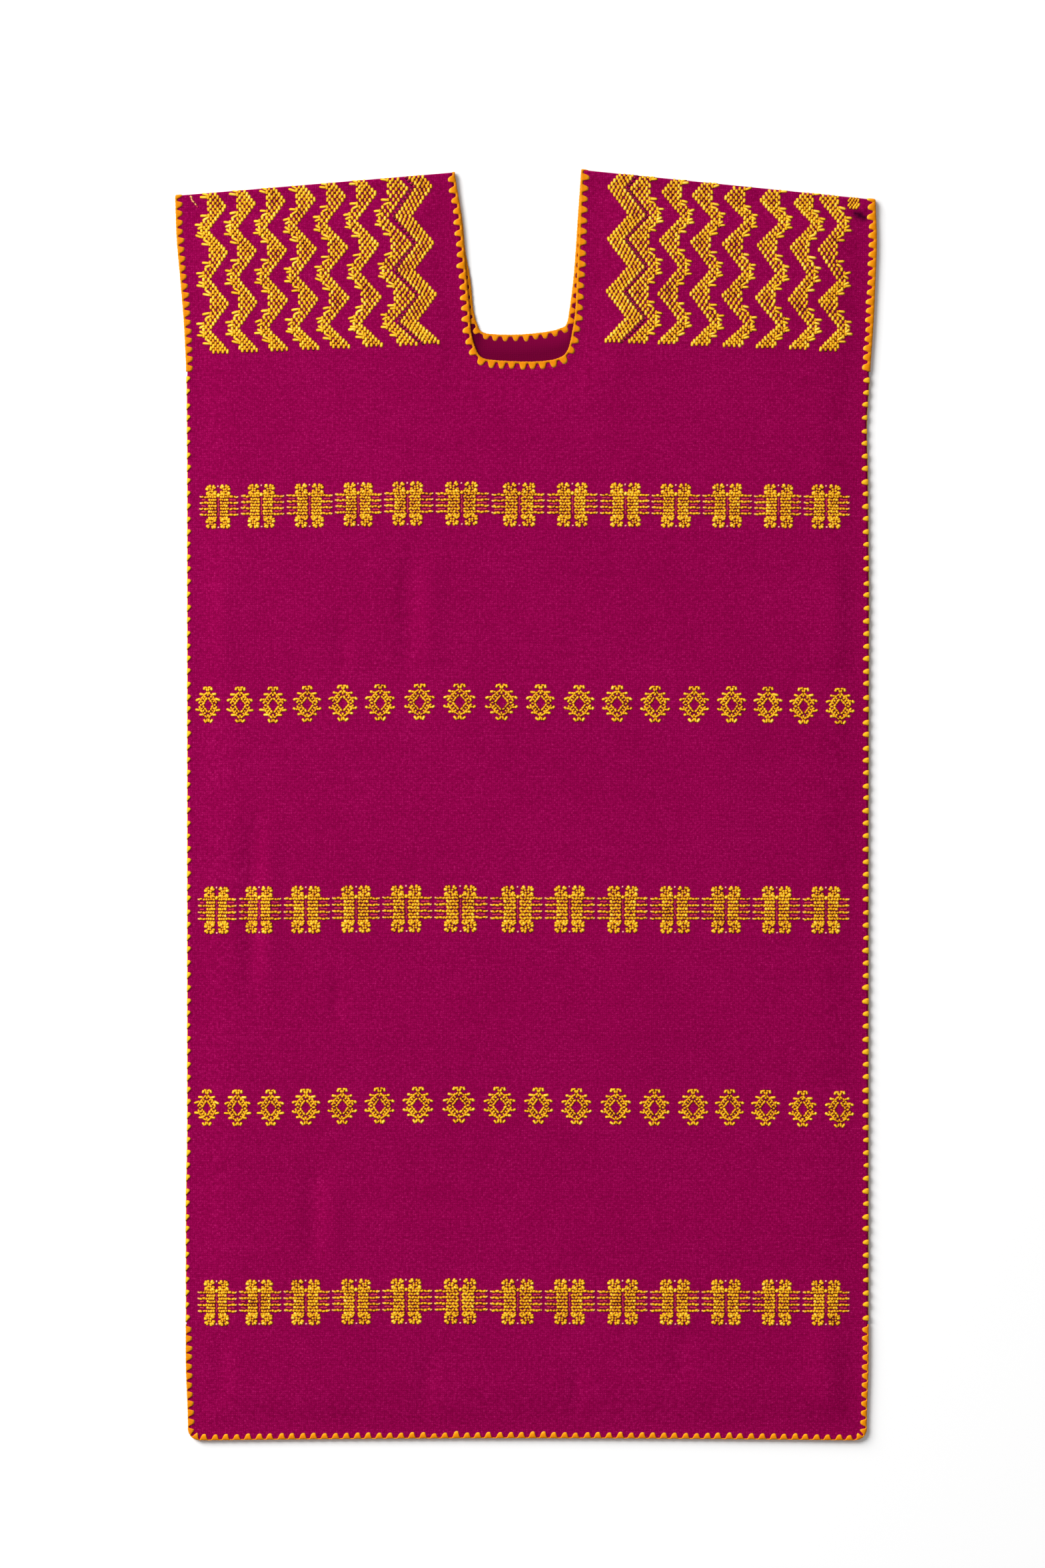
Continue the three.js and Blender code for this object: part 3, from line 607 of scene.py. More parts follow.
def linear(hex_colour):
    """An sRGB hex colour as linear red, green, blue and alpha."""
    parts = [int(hex_colour[k : k + 2], 16) / 255 for k in (1, 3, 5)]
    return tuple(p / 12.92 if p <= 0.04045 else ((p + 0.055) / 1.055) ** 2.4 for p in parts) + (1.0,)


def add_node(tree, kind, inputs=None, **settings):
    """A node with its settings, and its inputs set to values or linked to other nodes' outputs."""
    made = tree.nodes.new(kind)
    for key, value in settings.items():
        setattr(made, key, value)
    for key, value in (inputs or {}).items():
        if isinstance(value, bpy.types.NodeSocket):
            tree.links.new(value, made.inputs[key])
        else:
            made.inputs[key].default_value = value
    return made


def ramp(tree, source, stops):
    """A colour ramp from stops of place and hex colour."""
    made = add_node(tree, "ShaderNodeValToRGB", {"Fac": source})
    elements = made.color_ramp.elements
    while len(elements) < len(stops):
        elements.new(0.5)
    for element, (place, hex_colour) in zip(elements, stops):
        element.position = place
        element.color = linear(hex_colour)
    return made.outputs["Color"]


def new_material(name):
    material = bpy.data.materials.get(name)
    if material:
        return material, None, None
    material = bpy.data.materials.new(name)
    material.use_nodes = True
    return material, material.node_tree, material.node_tree.nodes["Principled BSDF"]


def math_node(tree, operation, *values):
    return add_node(tree, "ShaderNodeMath", dict(enumerate(values)), operation=operation).outputs[0]


def attribute(tree, name):
    return add_node(tree, "ShaderNodeAttribute", attribute_name=name).outputs["Fac"]


def object_place(tree):
    return add_node(tree, "ShaderNodeTexCoord").outputs["Object"]


def noise(tree, place, scale, detail, **settings):
    inputs = {"Vector": place, "Scale": scale, "Detail": detail, **settings}
    return add_node(tree, "ShaderNodeTexNoise", inputs)


def blend(tree, share, first, hex_second):
    """A colour turned towards a second one by a share."""
    inputs = {"Factor": share, 6: first, 7: linear(hex_second)}
    return add_node(tree, "ShaderNodeMix", inputs, data_type="RGBA").outputs[2]


def add_shares(tree, level, parts):
    """A level with a share of each noise added."""
    for source, share in parts:
        level = math_node(tree, "MULTIPLY_ADD", source.outputs["Fac"], share, level)
    return level


def set_surface(tree, shader, colour, roughness, gloss):
    tree.links.new(colour, shader.inputs["Base Color"])
    shader.inputs["Roughness"].default_value = roughness
    shader.inputs["Specular IOR Level"].default_value = gloss


def set_bump(tree, shader, height, strength, depth):
    bump = add_node(tree, "ShaderNodeBump", {"Height": height, "Strength": strength, "Distance": depth})
    tree.links.new(bump.outputs["Normal"], shader.inputs["Normal"])


def thread_crossings(tree, place, pitch):
    """A grid of threads, highest where warp and weft cross, on lines that a fine noise makes uneven.
    Real threads are too fine to show, so they are drawn as coarse as they need to be."""
    sway = noise(tree, place, 170.0, 5.0, Roughness=0.7).outputs["Color"]
    moved = add_node(tree, "ShaderNodeVectorMath", {0: sway, "Scale": 0.0042}, operation="SCALE").outputs[0]
    woven = add_node(tree, "ShaderNodeVectorMath", {0: place, 1: moved}, operation="ADD").outputs[0]
    axes = add_node(tree, "ShaderNodeSeparateXYZ", {"Vector": woven})
    turns = 2 * math.pi / pitch
    threads = []
    for axis in ("X", "Y"):
        wave = math_node(tree, "SINE", math_node(tree, "MULTIPLY", axes.outputs[axis], turns))
        threads.append(math_node(tree, "MULTIPLY_ADD", wave, 0.5, 0.5))
    return math_node(tree, "MULTIPLY", *threads)


def dyed_cotton():
    """Plain-woven cotton dyed magenta: matt, with a faint grid of threads and slightly uneven dye, and
    painted shade in its creases and on its inner face.
    """
    material, tree, shader = new_material("magenta_cotton_plain_weave")
    if tree is None:
        return material
    place = object_place(tree)
    crossing = thread_crossings(tree, place, bpy.context.scene.kaftan_cloth.thread_pitch)
    fine = noise(tree, place, 420.0, 3.0)
    patch = noise(tree, place, 38.0, 3.0)
    broad = noise(tree, place, 7.0, 3.0)
    streak_place = add_node(tree, "ShaderNodeMapping", {"Vector": place, "Scale": (5.0, 300.0, 1.0)})
    streak = noise(tree, streak_place.outputs[0], 1.0, 2.0)
    shown = math_node(tree, "MULTIPLY_ADD", fine.outputs["Fac"], 2.4, -0.9)
    dots = math_node(tree, "MULTIPLY", crossing, shown)
    tone = math_node(tree, "MULTIPLY", dots, 0.38)
    tone = add_shares(tree, tone, [(fine, 0.48), (patch, 0.08), (broad, 0.10), (streak, 0.08)])
    outer_face = ramp(tree, tone, [
        (0.22, "#770038"), (0.38, "#870043"), (0.54, "#9A0752"), (0.74, "#B01D67"),
    ])
    # Painted shade: darker where a crease dips, and darker on the inner face, which shows inside the neck
    crease_shaded = blend(tree, attribute(tree, "crease_shade"), outer_face, "#3C0020")
    set_surface(tree, shader, blend(tree, attribute(tree, "inner"), crease_shaded, "#66002E"), 0.92, 0.03)
    lift = math_node(tree, "MULTIPLY_ADD", fine.outputs["Fac"], 0.5, crossing)
    set_bump(tree, shader, lift, 0.3, 0.0004)
    return material


def brocade_yarn():
    """Mercerised cotton yarn, gold yellow: a soft gloss and a painted highlight on each float, orange
    painted shade where it dips in and a dark painted shadow at its foot.
    """
    material, tree, shader = new_material("gold_mercerised_brocade_yarn")
    if tree is None:
        return material
    place = object_place(tree)
    fuzz = noise(tree, place, 700.0, 2.0)
    patch = noise(tree, place, 45.0, 2.0)
    level = math_node(tree, "MULTIPLY_ADD", attribute(tree, "tint"), 0.3, attribute(tree, "crown"))
    level = add_shares(tree, level, [(fuzz, 0.16), (patch, 0.5)])
    # Painted light by crown value: dark painted shadow at the foot, orange painted shade on the flanks and a
    # pale painted highlight on top
    colour = ramp(tree, math_node(tree, "MULTIPLY_ADD", level, 0.70, -0.16), [
        (0.08, "#2E0312"), (0.18, "#5E0C0E"), (0.29, "#AC5A0A"), (0.42, "#DC900C"),
        (0.60, "#EFB418"), (0.80, "#F8CC3C"), (1.0, "#FFDC84"),
    ])
    set_surface(tree, shader, colour, 0.55, 0.12)
    set_bump(tree, shader, fuzz.outputs["Fac"], 0.3, 0.0003)
    return material


def show_through_yarn(name, low, high):
    """Yarn of the brocade that shows through or is worn, and the painted shadow line, from its foot's
    colour to its crown's, the foot darker as painted shade.
    """
    material, tree, shader = new_material(name)
    if tree is not None:
        colour = ramp(tree, attribute(tree, "crown"), [(0.1, low), (0.7, high)])
        set_surface(tree, shader, colour, 0.6, 0.15)
    return material


def edging_yarn():
    """Twisted cotton yarn in blanket stitch: orange along the rail, yellower at each stitch's end, with
    a dark rim on the cloth round it as painted shadow.
    """
    material, tree, shader = new_material("orange_yellow_edging_yarn")
    if tree is None:
        return material
    fuzz = noise(tree, object_place(tree), 240.0, 3.0).outputs["Fac"]
    strand = math_node(
        tree, "SINE", math_node(tree, "MULTIPLY", attribute(tree, "along"), 2 * math.pi / STRAND_PITCH)
    )
    level = math_node(tree, "MULTIPLY_ADD", fuzz, 0.5, attribute(tree, "reach"))
    level = math_node(tree, "MULTIPLY_ADD", strand, 0.02, level)
    yarn = ramp(tree, math_node(tree, "MULTIPLY", level, 0.7), [
        (0.08, "#CC7E00"), (0.30, "#E08200"), (0.62, "#EC9004"), (0.9, "#F4AA22"),
    ])
    # Painted shadow: the rim ring on the cloth is dark
    set_surface(tree, shader, blend(tree, attribute(tree, "rim"), yarn, "#5C0420"), 0.6, 0.08)
    set_bump(tree, shader, math_node(tree, "ADD", strand, fuzz), 0.15, 0.0003)
    return material


def seam_yarn():
    """Twisted cotton yarn, yellow, in the side stitches, dark brown at each stitch's foot as painted
    shade.
    """
    material, tree, shader = new_material("yellow_side_stitch_yarn")
    if tree is None:
        return material
    fuzz = noise(tree, object_place(tree), 300.0, 3.0).outputs["Fac"]
    level = math_node(tree, "MULTIPLY_ADD", fuzz, 0.3, attribute(tree, "crown"))
    colour = ramp(tree, level, [
        (0.15, "#7C2410"), (0.4, "#D27A06"), (0.7, "#E69E10"), (1.0, "#F0B61E"),
    ])
    set_surface(tree, shader, colour, 0.6, 0.08)
    set_bump(tree, shader, fuzz, 0.35, 0.0003)
    return material


# The cloth

# Width of the cloth beside the neck, and the distance between its columns of points. The right side
# has more columns near its edge, for the crease there: how far in they are.
LEFT_WIDTH = 302
RIGHT_WIDTH = 312
COLUMN_STEP = 7.0
CREASE_COLUMNS = [2.4, 7.1, 12.2, 14.8, 20.5, 24.0]
MIDDLE_COLUMNS = 26

# Rows of points above the hem, and how many steps turn the web over the fold
HEM_ROWS = np.array([0, 0.5, 1.5, 3.0, 5.0, 7.5, 11.0])
FOLD_STEPS = 8

# Height of each side's upper end, where the fold starts
LEFT_FOLD_Y = 638.0
RIGHT_FOLD_Y = 634.0

# Each layer's plan: heights at which the neck's sides meet its bottom, rows on the body and on the
# yoke, and the height between them
FRONT_PLAN = ((479.5, 478), 150, 52, NECK_ROW)
BACK_PLAN = ((505, 505.3), 60, 12, BACK_NECK_ROW)

# How fast a crease's depth darkens the cloth as painted shade, and the height above which a point
# is on the front
CREASE_SHADE_GAIN = 1.6
FRONT_FROM = 2


def side_shares(width):
    border = BORDER / width
    inner = np.linspace(border, 1 - border, int(width / COLUMN_STEP))
    return np.concatenate([[0, border / 3, border * 2 / 3], inner, [1 - border / 2, 1]])


LEFT_SHARES = side_shares(LEFT_WIDTH)
RIGHT_SHARES = np.sort(np.append(side_shares(RIGHT_WIDTH), 1 - table(CREASE_COLUMNS) / RIGHT_WIDTH))


def neck_parts(line, left_corner, right_corner):
    """The neck's edge as its left side, its bottom and its right side, split at two heights."""
    lowest = line[:, 1].argmin()
    left_end = np.abs(line[:lowest, 1] - left_corner).argmin()
    right_end = lowest + np.abs(line[lowest:, 1] - right_corner).argmin()
    return line[: left_end + 1], line[left_end : right_end + 1], line[right_end:]


def toward_fold(start, x, share):
    """Height at a share of the way from a start to the foot of the shoulder fold."""
    return start + (fold_foot(x) - start) * share


def web_plan(neck_line, corners, body_rows, yoke_rows, row_height):
    """Plan points of one layer, from hem to fold, with gaps as NaN where the neck is cut out."""
    left_part, bottom_part, right_part = neck_parts(neck_line, *corners)
    bottom = spread(bottom_part, MIDDLE_COLUMNS)
    left_end, right_end = (np.array([edge(row_height), row_height]) for edge in (left_edge, right_edge))
    top = np.vstack([
        left_end + (bottom[0] - left_end) * LEFT_SHARES[:, None],
        bottom[1:-1],
        bottom[-1] + (right_end - bottom[-1]) * RIGHT_SHARES[:, None],
    ])
    left_pull, right_pull = np.zeros(len(top)), np.zeros(len(top))
    left_pull[: len(LEFT_SHARES)] = 1 - LEFT_SHARES
    right_pull[-len(RIGHT_SHARES) :] = RIGHT_SHARES
    hem = hem_line(top[:, 0])
    first = HEM_ROWS[-1] / (row_height - HEM_LOW)
    rows = [hem + rise for rise in HEM_ROWS]
    rows += [hem * (1 - share) + top[:, 1] * share for share in np.linspace(first, 1, body_rows)[1:]]
    plan = []
    for y in rows:
        pull = (left_edge(y) - left_end[0]) * left_pull + (right_edge(y) - right_end[0]) * right_pull
        plan.append(np.column_stack([top[:, 0] + pull, y]))
    fold_left, fold_right = left_edge(np.array(LEFT_FOLD_Y)), right_edge(np.array(RIGHT_FOLD_Y))
    neck_tops = [left_part[0, 0], right_part[-1, 0]]
    for share in np.linspace(0, 1, yoke_rows + 1)[1:]:
        ends = []
        for x, side in ((fold_left, left_edge), (fold_right, right_edge)):
            y = toward_fold(row_height, x, share)
            ends.append(np.array([side(y), y]))
        left_rise = toward_fold(bottom[0, 1], neck_tops[0], share)
        right_rise = toward_fold(bottom[-1, 1], neck_tops[1], share)
        near_left = np.array([np.interp(-left_rise, -left_part[:, 1], left_part[:, 0]), left_rise])
        near_right = np.array([np.interp(right_rise, right_part[:, 1], right_part[:, 0]), right_rise])
        plan.append(np.vstack([
            ends[0] + (near_left - ends[0]) * LEFT_SHARES[:, None],
            np.full((MIDDLE_COLUMNS - 1, 2), np.nan),
            near_right + (ends[1] - near_right) * RIGHT_SHARES[:, None],
        ]))
    return np.array(plan)


def web_skins(front, back):
    """The outer and the inner skin of the folded web, row by row over the shoulder and down the back."""
    outer, inner = [], []
    for row in front:
        z = front_face(np.nan_to_num(row[:, 0]), np.nan_to_num(row[:, 1]))
        outer.append(np.column_stack([row, z]))
        inner.append(np.column_stack([row, z - SHELL]))
    foot = front[-1]
    for turn in np.linspace(0, math.pi, FOLD_STEPS + 1)[1:-1]:
        for skin, radius in ((outer, FOLD_RADIUS), (inner, FOLD_RADIUS - SHELL)):
            y = foot[:, 1] + radius * math.sin(turn)
            z = np.full(len(foot), FOLD_CENTRE + radius * math.cos(turn))
            skin.append(np.column_stack([foot[:, 0], y, z]))
    for row in back[::-1]:
        outer.append(np.column_stack([row, np.full(len(row), BACK_FACE)]))
        inner.append(np.column_stack([row, np.full(len(row), BACK_FACE + SHELL)]))
    return np.array(outer), np.array(inner)


def wall_faces(present):
    """Point numbers of a grid, and the faces of a wall through it with its rim."""
    numbers = np.full(present.shape, -1)
    numbers[present] = np.arange(present.sum())
    count = int(present.sum())
    a, b = numbers[:-1, :-1].ravel(), numbers[:-1, 1:].ravel()
    c, d = numbers[1:, 1:].ravel(), numbers[1:, :-1].ravel()
    quads = np.column_stack([a, b, c, d])
    quads = quads[(quads >= 0).all(axis=1)]
    edges = np.vstack([quads[:, [k, (k + 1) % 4]] for k in range(4)])
    keys = edges[:, 0] * count + edges[:, 1]
    backward = edges[:, 1] * count + edges[:, 0]
    rim = edges[~np.isin(keys, backward)]
    walls = np.column_stack([rim[:, 1], rim[:, 0], rim[:, 0] + count, rim[:, 1] + count])
    return np.vstack([quads, quads[:, ::-1] + count, walls])


class KAFTAN_OT_cloth(bpy.types.Operator):
    """Lay the cotton web, folded at the shoulders with its neck cut out"""

    bl_idname = "kaftan.add_cloth"
    bl_label = "Cloth"

    def execute(self, context):
        outer, inner = web_skins(web_plan(FRONT_NECK, *FRONT_PLAN), web_plan(BACK_NECK, *BACK_PLAN))
        present = ~np.isnan(outer[..., 0])
        points = np.vstack([outer[present], inner[present]])
        # Painted shade: the inner face and the front's creases darken the cloth's colour
        side = np.repeat([0.0, 1.0], present.sum())
        creases = fold_heights(points[:, 0], points[:, 1], EDGE_CREASES)
        crease_shade = np.clip(-CREASE_SHADE_GAIN * creases, 0, 1) * (points[:, 2] > FRONT_FROM)
        cloth = new_piece(
            "cotton_web", points, [wall_faces(present)], [dyed_cotton()], {"inner": side, "crease_shade": crease_shade}
        )
        finish_piece(cloth, "cotton_ground", "cloth")
        return {"FINISHED"}


# Brocade

# A float is a low dome: corners of its ring on the front and on the back, how far its dark foot,
# a painted shadow, reaches past it, how round the ring is and how wide its shoulder is. Each level
# of the dome has its share of the rise and its crown value, which sets its painted shade and
# highlight: foot, shoulder, top.
FRONT_CORNERS = 8
BACK_CORNERS = 5
RIM = 0.42
ROUNDNESS = 0.6
SHOULDER_SHARE = 0.73
DOME_RISES = (0.0, 0.6, 1.0)
DOME_CROWNS = (0.0, 0.55, 0.85)
FLOAT_LIFT = 0.04

# Kinds of yarn, and a dark kind that is a painted shadow line. Pale gold is gold with a lighter
# tint, and each of the others has a material with its own colours of foot and crown, in the order of
# the kinds.
GOLD, PINK, RED, PEACH, SHADOW_KIND, PALE_GOLD = range(6)
SHOW_THROUGH = [
    ("pale_pink_tie_yarn", "#A0264C", "#F4A8A0"),
    ("red_show_through_yarn", "#840A2A", "#D43450"),
    ("peach_worn_brocade_yarn", "#8A3018", "#F6B46A"),
    ("dark_red_painted_shadow_line", "#30000C", "#700824"),
]

# Unevenness of the floats: in place, run and turn, then as a share of length, width and rise, and how
# much lighter pale gold is
PLACE_SPREAD = [0.15, 0.15, 0, 0.12, 0, 0, 0]
SIZE_SPREAD = (0.06, 0.06, 0.10)
PALE_TINT = 0.9

# Middle of a butterfly as place, height in row pitches, turn, half length and half width: a gold knot
# that stands a share higher than other floats, then with their own rise pink ties and a red line
MIDDLE_KNOT = (0.1, 3.8, 1.1, 1.9, 1.5)
KNOT_RISE = 1.2
MIDDLE_TIES = [
    (-0.1, 6.9, 1.4, 0.95, 0.8, 0.5, PINK), (0.2, -6.9, 0.2, 0.95, 0.8, 0.5, PINK),
    *[(0.1, 2.1 - 1.5 * k, math.pi / 2, 2.4, 0.35, 0.15, RED) for k in range(4)],
]

# The round cluster at the right shoulder's corner, the start of one more column: its middle, radius,
# distance between floats along and between rows, and their turn, half length and half width
CLUSTER_MIDDLE = (343.8, 631.8)
CLUSTER_RADIUS = 6.2
CLUSTER_PITCH = (3.3, 2.5)
CLUSTER_FLOAT = (1.15, 1.9, 1.15)

# Loose ends of yarn at the left shoulder's corner: points, width and kind
STRAY_YARNS = [
    ([(-352.2, 638.6), (-350.6, 637.2)], 2.0, PEACH),
    ([(-351.6, 636), (-350.2, 633.4), (-348.4, 631.8)], 1.5, PEACH),
    ([(-347.6, 631), (-346.4, 629.6)], 1.2, PEACH),
    ([(-345.6, 628.6), (-344.6, 627)], 1.0, RED),
]
STRAY_LENGTH = 3.0
STRAY_RISE = 0.35

# Floats end to end: half of each as a share of its step in a row and in a stroke, how far the
# wavering of a row turns on from one float to the next. Then the step at which a stroke is measured,
# and how far before and behind a float its direction is taken.
ROW_OVERLAP = 0.54
STROKE_OVERLAP = 0.62
WAVER_TURN = 2.4
STROKE_STEP = 0.2
DIRECTION_REACH = 0.5


def float_points(floats, corners):
    """Points, faces and crowns of many brocade floats, each a low dome on a dark foot, a painted
    shadow, that lies on the web. floats has rows of place, run down from the crest, crest, angle,
    half length, half width and height."""
    turns = 2 * math.pi * (np.arange(corners) + 0.5) / corners
    ring = np.column_stack([np.cos(turns), np.sin(turns)])
    ring = np.sign(ring) * np.abs(ring) ** ROUNDNESS
    shape = np.vstack([ring, ring * SHOULDER_SHARE, [[0, 0]]])
    foot = np.vstack([ring, ring * 0, [[0, 0]]]) * RIM
    levels = [corners, corners, 1]
    rises, crown = np.repeat(DOME_RISES, levels), np.repeat(DOME_CROWNS, levels)
    x, run, crest, angle, half_length, half_width, height = floats.T[:, :, None]
    along = shape[:, 0] * half_length + foot[:, 0]
    across = shape[:, 1] * half_width + foot[:, 1]
    px = x + along * np.cos(angle) - across * np.sin(angle)
    prun = run - along * np.sin(angle) - across * np.cos(angle)
    points = on_web(px, prun, FLOAT_LIFT + rises * height, np.broadcast_to(crest, px.shape))
    k = np.arange(corners)
    following = (k + 1) % corners
    sides = np.column_stack([k, following, following + corners, k + corners])
    caps = np.column_stack([k + corners, following + corners, np.full(corners, 2 * corners)])
    base = k[::-1][None, :]
    firsts = np.arange(len(floats))[:, None, None] * len(shape)
    faces = [(part + firsts).reshape(-1, part.shape[1]) for part in (sides, caps, base)]
    return points, faces, np.tile(crown, len(floats))


def add_floats(name, floats, seed):
    """One piece of brocade, on the front and with its like on the back. floats has float_points'
    rows with the kind of yarn as the last value."""
    draw = np.random.default_rng(seed)
    floats[:, :7] += draw.normal(0, 1, (len(floats), 7)) * PLACE_SPREAD
    floats[:, 4:7] *= draw.normal(1, SIZE_SPREAD, (len(floats), 3))
    pale = floats[:, 7] == PALE_GOLD
    kinds = np.where(pale, GOLD, floats[:, 7]).astype(int)
    tints = draw.uniform(-0.5, 0.5, len(floats)) + PALE_TINT * pale
    mirrored = floats[:, :7] * [1, -1, 1, -1, 1, 1, 1]
    all_points, all_faces, crowns, shades, slots = [], [], [], [], []
    gone = 0
    for rows, corners in ((floats[:, :7], FRONT_CORNERS), (mirrored, BACK_CORNERS)):
        points, faces, crown = float_points(rows, corners)
        all_points.append(points)
        all_faces += [part + gone for part in faces]
        crowns.append(crown)
        shades.append(np.repeat(tints, 2 * corners + 1))
        slots += [np.repeat(kinds, corners), np.repeat(kinds, corners), kinds]
        gone += len(points)
    piece = new_piece(
        name, np.vstack(all_points), all_faces,
        [brocade_yarn(), *(show_through_yarn(*kind) for kind in SHOW_THROUGH)],
        {"crown": np.concatenate(crowns), "tint": np.concatenate(shades)}, np.concatenate(slots),
    )
    finish_piece(piece, "brocade_yarn")


def run_down(x, y):
    """How far down the front from the crest of the fold a point of the plan is, and the crest there."""
    crest = shoulder_line(x)
    return crest - FOLD_REACH - y + QUARTER_TURN, crest


def place_floats(items, height=0.0):
    """Rows for add_floats from items of place, height, angle, half length, half width, rise, kind."""
    rows = np.array(items, dtype=float)
    x, y = rows[:, 0], rows[:, 1] + height
    run, crest = run_down(x, y)
    return np.column_stack([x, run, crest, rows[:, 2:]])


def float_size(settings):
    return settings.float_length / MM / 2, settings.float_width / MM / 2, settings.float_height / MM


def zigzag_row(x_edge, y, neckward, spacing, shape, lean, size):
    """One row of a zigzag, from its edge on the neck's side outwards."""
    half_length, half_width, rise = size
    count, middle, half_run, tilt = shape
    made = []
    for k in range(count):
        at_end = k == 0 or (k == count - 1 and not half_run)
        kind = PALE_GOLD if at_end else GOLD
        wide = half_width * (END_SLIMNESS if at_end else 1)
        upright = math.pi / 2 - neckward * lean * LEAN
        made.append((x_edge - neckward * k * spacing, y, upright, half_length, wide, rise, kind))
    if half_run:
        x = x_edge - neckward * (middle - TIP_INSET)
        made.append((x, y, -neckward * lean * tilt, half_run, FRINGE_HALF_WIDTH, rise, PALE_GOLD))
    return made


def zigzag_floats(column, neckward, thick, size):
    """One zigzag column: floats in staggered rows from over the fold down to the last tip. A dark
    line of painted shadow with red specks runs along the thick one, on the arm's side."""
    top, middle, bottom, reach, heights = column
    half = ROWS_A_ZIGZAG // 2
    spacing = (FLOAT_SPACING + 2 * reach / half) / 2 * (THICK_SPACING if thick else 1)
    knots = np.arange(len(heights)) * half
    rows = np.arange(-ROWS_OVER_FOLD, knots[-1] + 1)
    y_rows = np.interp(rows, knots, heights) - np.minimum(rows, 0) * FOLD_ROW_PITCH
    tip_rows = np.interp(
        y_rows, [heights[-1], (heights[0] + heights[-1]) / 2, heights[0]], [bottom, middle, top]
    )
    made = []
    for row, y, tip in zip(rows, y_rows, tip_rows):
        phase = row % ROWS_A_ZIGZAG
        off_notch = abs(phase - half)
        x = tip - neckward * (reach * (half - off_notch) / half + TIP_INSET)
        if run_down(x, y)[0] > LEAST_RUN:
            lean = 0 if off_notch in (0, half) else math.copysign(1, phase - half)
            shape = (THICK_ROWS if thick else THIN_ROWS)[off_notch]
            made += zigzag_row(x, y, neckward, spacing, shape, lean, size)
            if thick:
                at = x - neckward * (shape[0] - 1) * spacing
                slope = math.pi / 2 - neckward * lean * LINE_SLOPE
                # The dark line is a painted shadow beside the thick zigzag
                for (out, *size_of_float), kind in ((SHADOW_LINE, SHADOW_KIND), (RED_SPECKS, RED)):
                    at -= neckward * out
                    made.append((at, y, slope, *size_of_float, kind))
    return made


def knot_cluster(rise):
    """The floats of the cluster at the right shoulder's corner."""
    made = []
    for row in range(-2, 3):
        for k in range(-2, 3):
            x, y = (k + (row % 2) / 2) * CLUSTER_PITCH[0], row * CLUSTER_PITCH[1]
            if math.hypot(x, y) < CLUSTER_RADIUS:
                made.append((CLUSTER_MIDDLE[0] + x, CLUSTER_MIDDLE[1] + y, *CLUSTER_FLOAT, rise, GOLD))
    return made


def stray_yarn(points, width, kind):
    """A loose end of yarn that lies on the cloth."""
    return [(*stroke, width / 2, STRAY_RISE, kind) for stroke in along_stroke(points, STRAY_LENGTH)]


class KAFTAN_OT_yoke(bpy.types.Operator):
    """Weave the zigzag columns of the yoke, over the shoulders and down the back"""

    bl_idname = "kaftan.weave_yoke"
    bl_label = "Yoke brocade"

    def execute(self, context):
        size = float_size(context.scene.kaftan_brocade)
        for side, columns, neckward in (("left", LEFT_ZIGZAGS, 1), ("right", RIGHT_ZIGZAGS, -1)):
            made = []
            for k, column in enumerate(columns):
                made += zigzag_floats(column, neckward, k == len(columns) - 1, size)
            if side == "right":
                made += knot_cluster(size[2])
            else:
                for stray in STRAY_YARNS:
                    made += stray_yarn(*stray)
            add_floats(f"yoke_brocade_{side}", place_floats(made), SEEDS["yoke"] + neckward)
        return {"FINISHED"}


def row_floats(x_from, x_to, y, length, width, rise, kind, waver=0.0, phase=0.0):
    """Floats end to end along a row."""
    count = max(int(round(abs(x_to - x_from) / length)), 1)
    step = (x_to - x_from) / count
    made = []
    for k in range(count):
        x = x_from + step * (k + 0.5)
        turn = waver * math.cos(phase + WAVER_TURN * k)
        lift = waver * math.sin(phase + WAVER_TURN * k)
        made.append((x, y + lift, turn, abs(step) * ROW_OVERLAP, width / 2, rise, kind))
    return made


def squared(share):
    """A circle's share eased towards a square's, for a squarish round."""
    return math.copysign(abs(share) ** LOBE_SQUARE, share)


def lobe(x, y, side, swell):
    """The round end of a butterfly's wing: rings of floats that point out from its middle."""
    made = []
    for number, (radius, count, half, wide, start) in enumerate(LOBE_RINGS):
        for k in range(count):
            turn = 2 * math.pi * (k + start) / count
            across = x + side * radius * swell * squared(math.cos(turn))
            up = y + radius * squared(math.sin(turn))
            kind = PALE_GOLD if number == 0 and k % 3 == 0 else GOLD
            made.append((across, up, side * turn, half, wide, LOBE_RISE, kind))
    return made


def whisker(x_from, x_to, y, side, rise, number):
    """Floats that run on from a wing towards the next motif, with a worn end."""
    phase = number * WHISKER_PHASE + side
    made = row_floats(x_from, x_to, y, *WHISKER_FLOAT, rise, GOLD, WHISKER_WAVER, phase)
    return [*made, (x_to, y, side * WHISKER_WAVER, *WORN_END, rise * WORN_RISE, PEACH)]


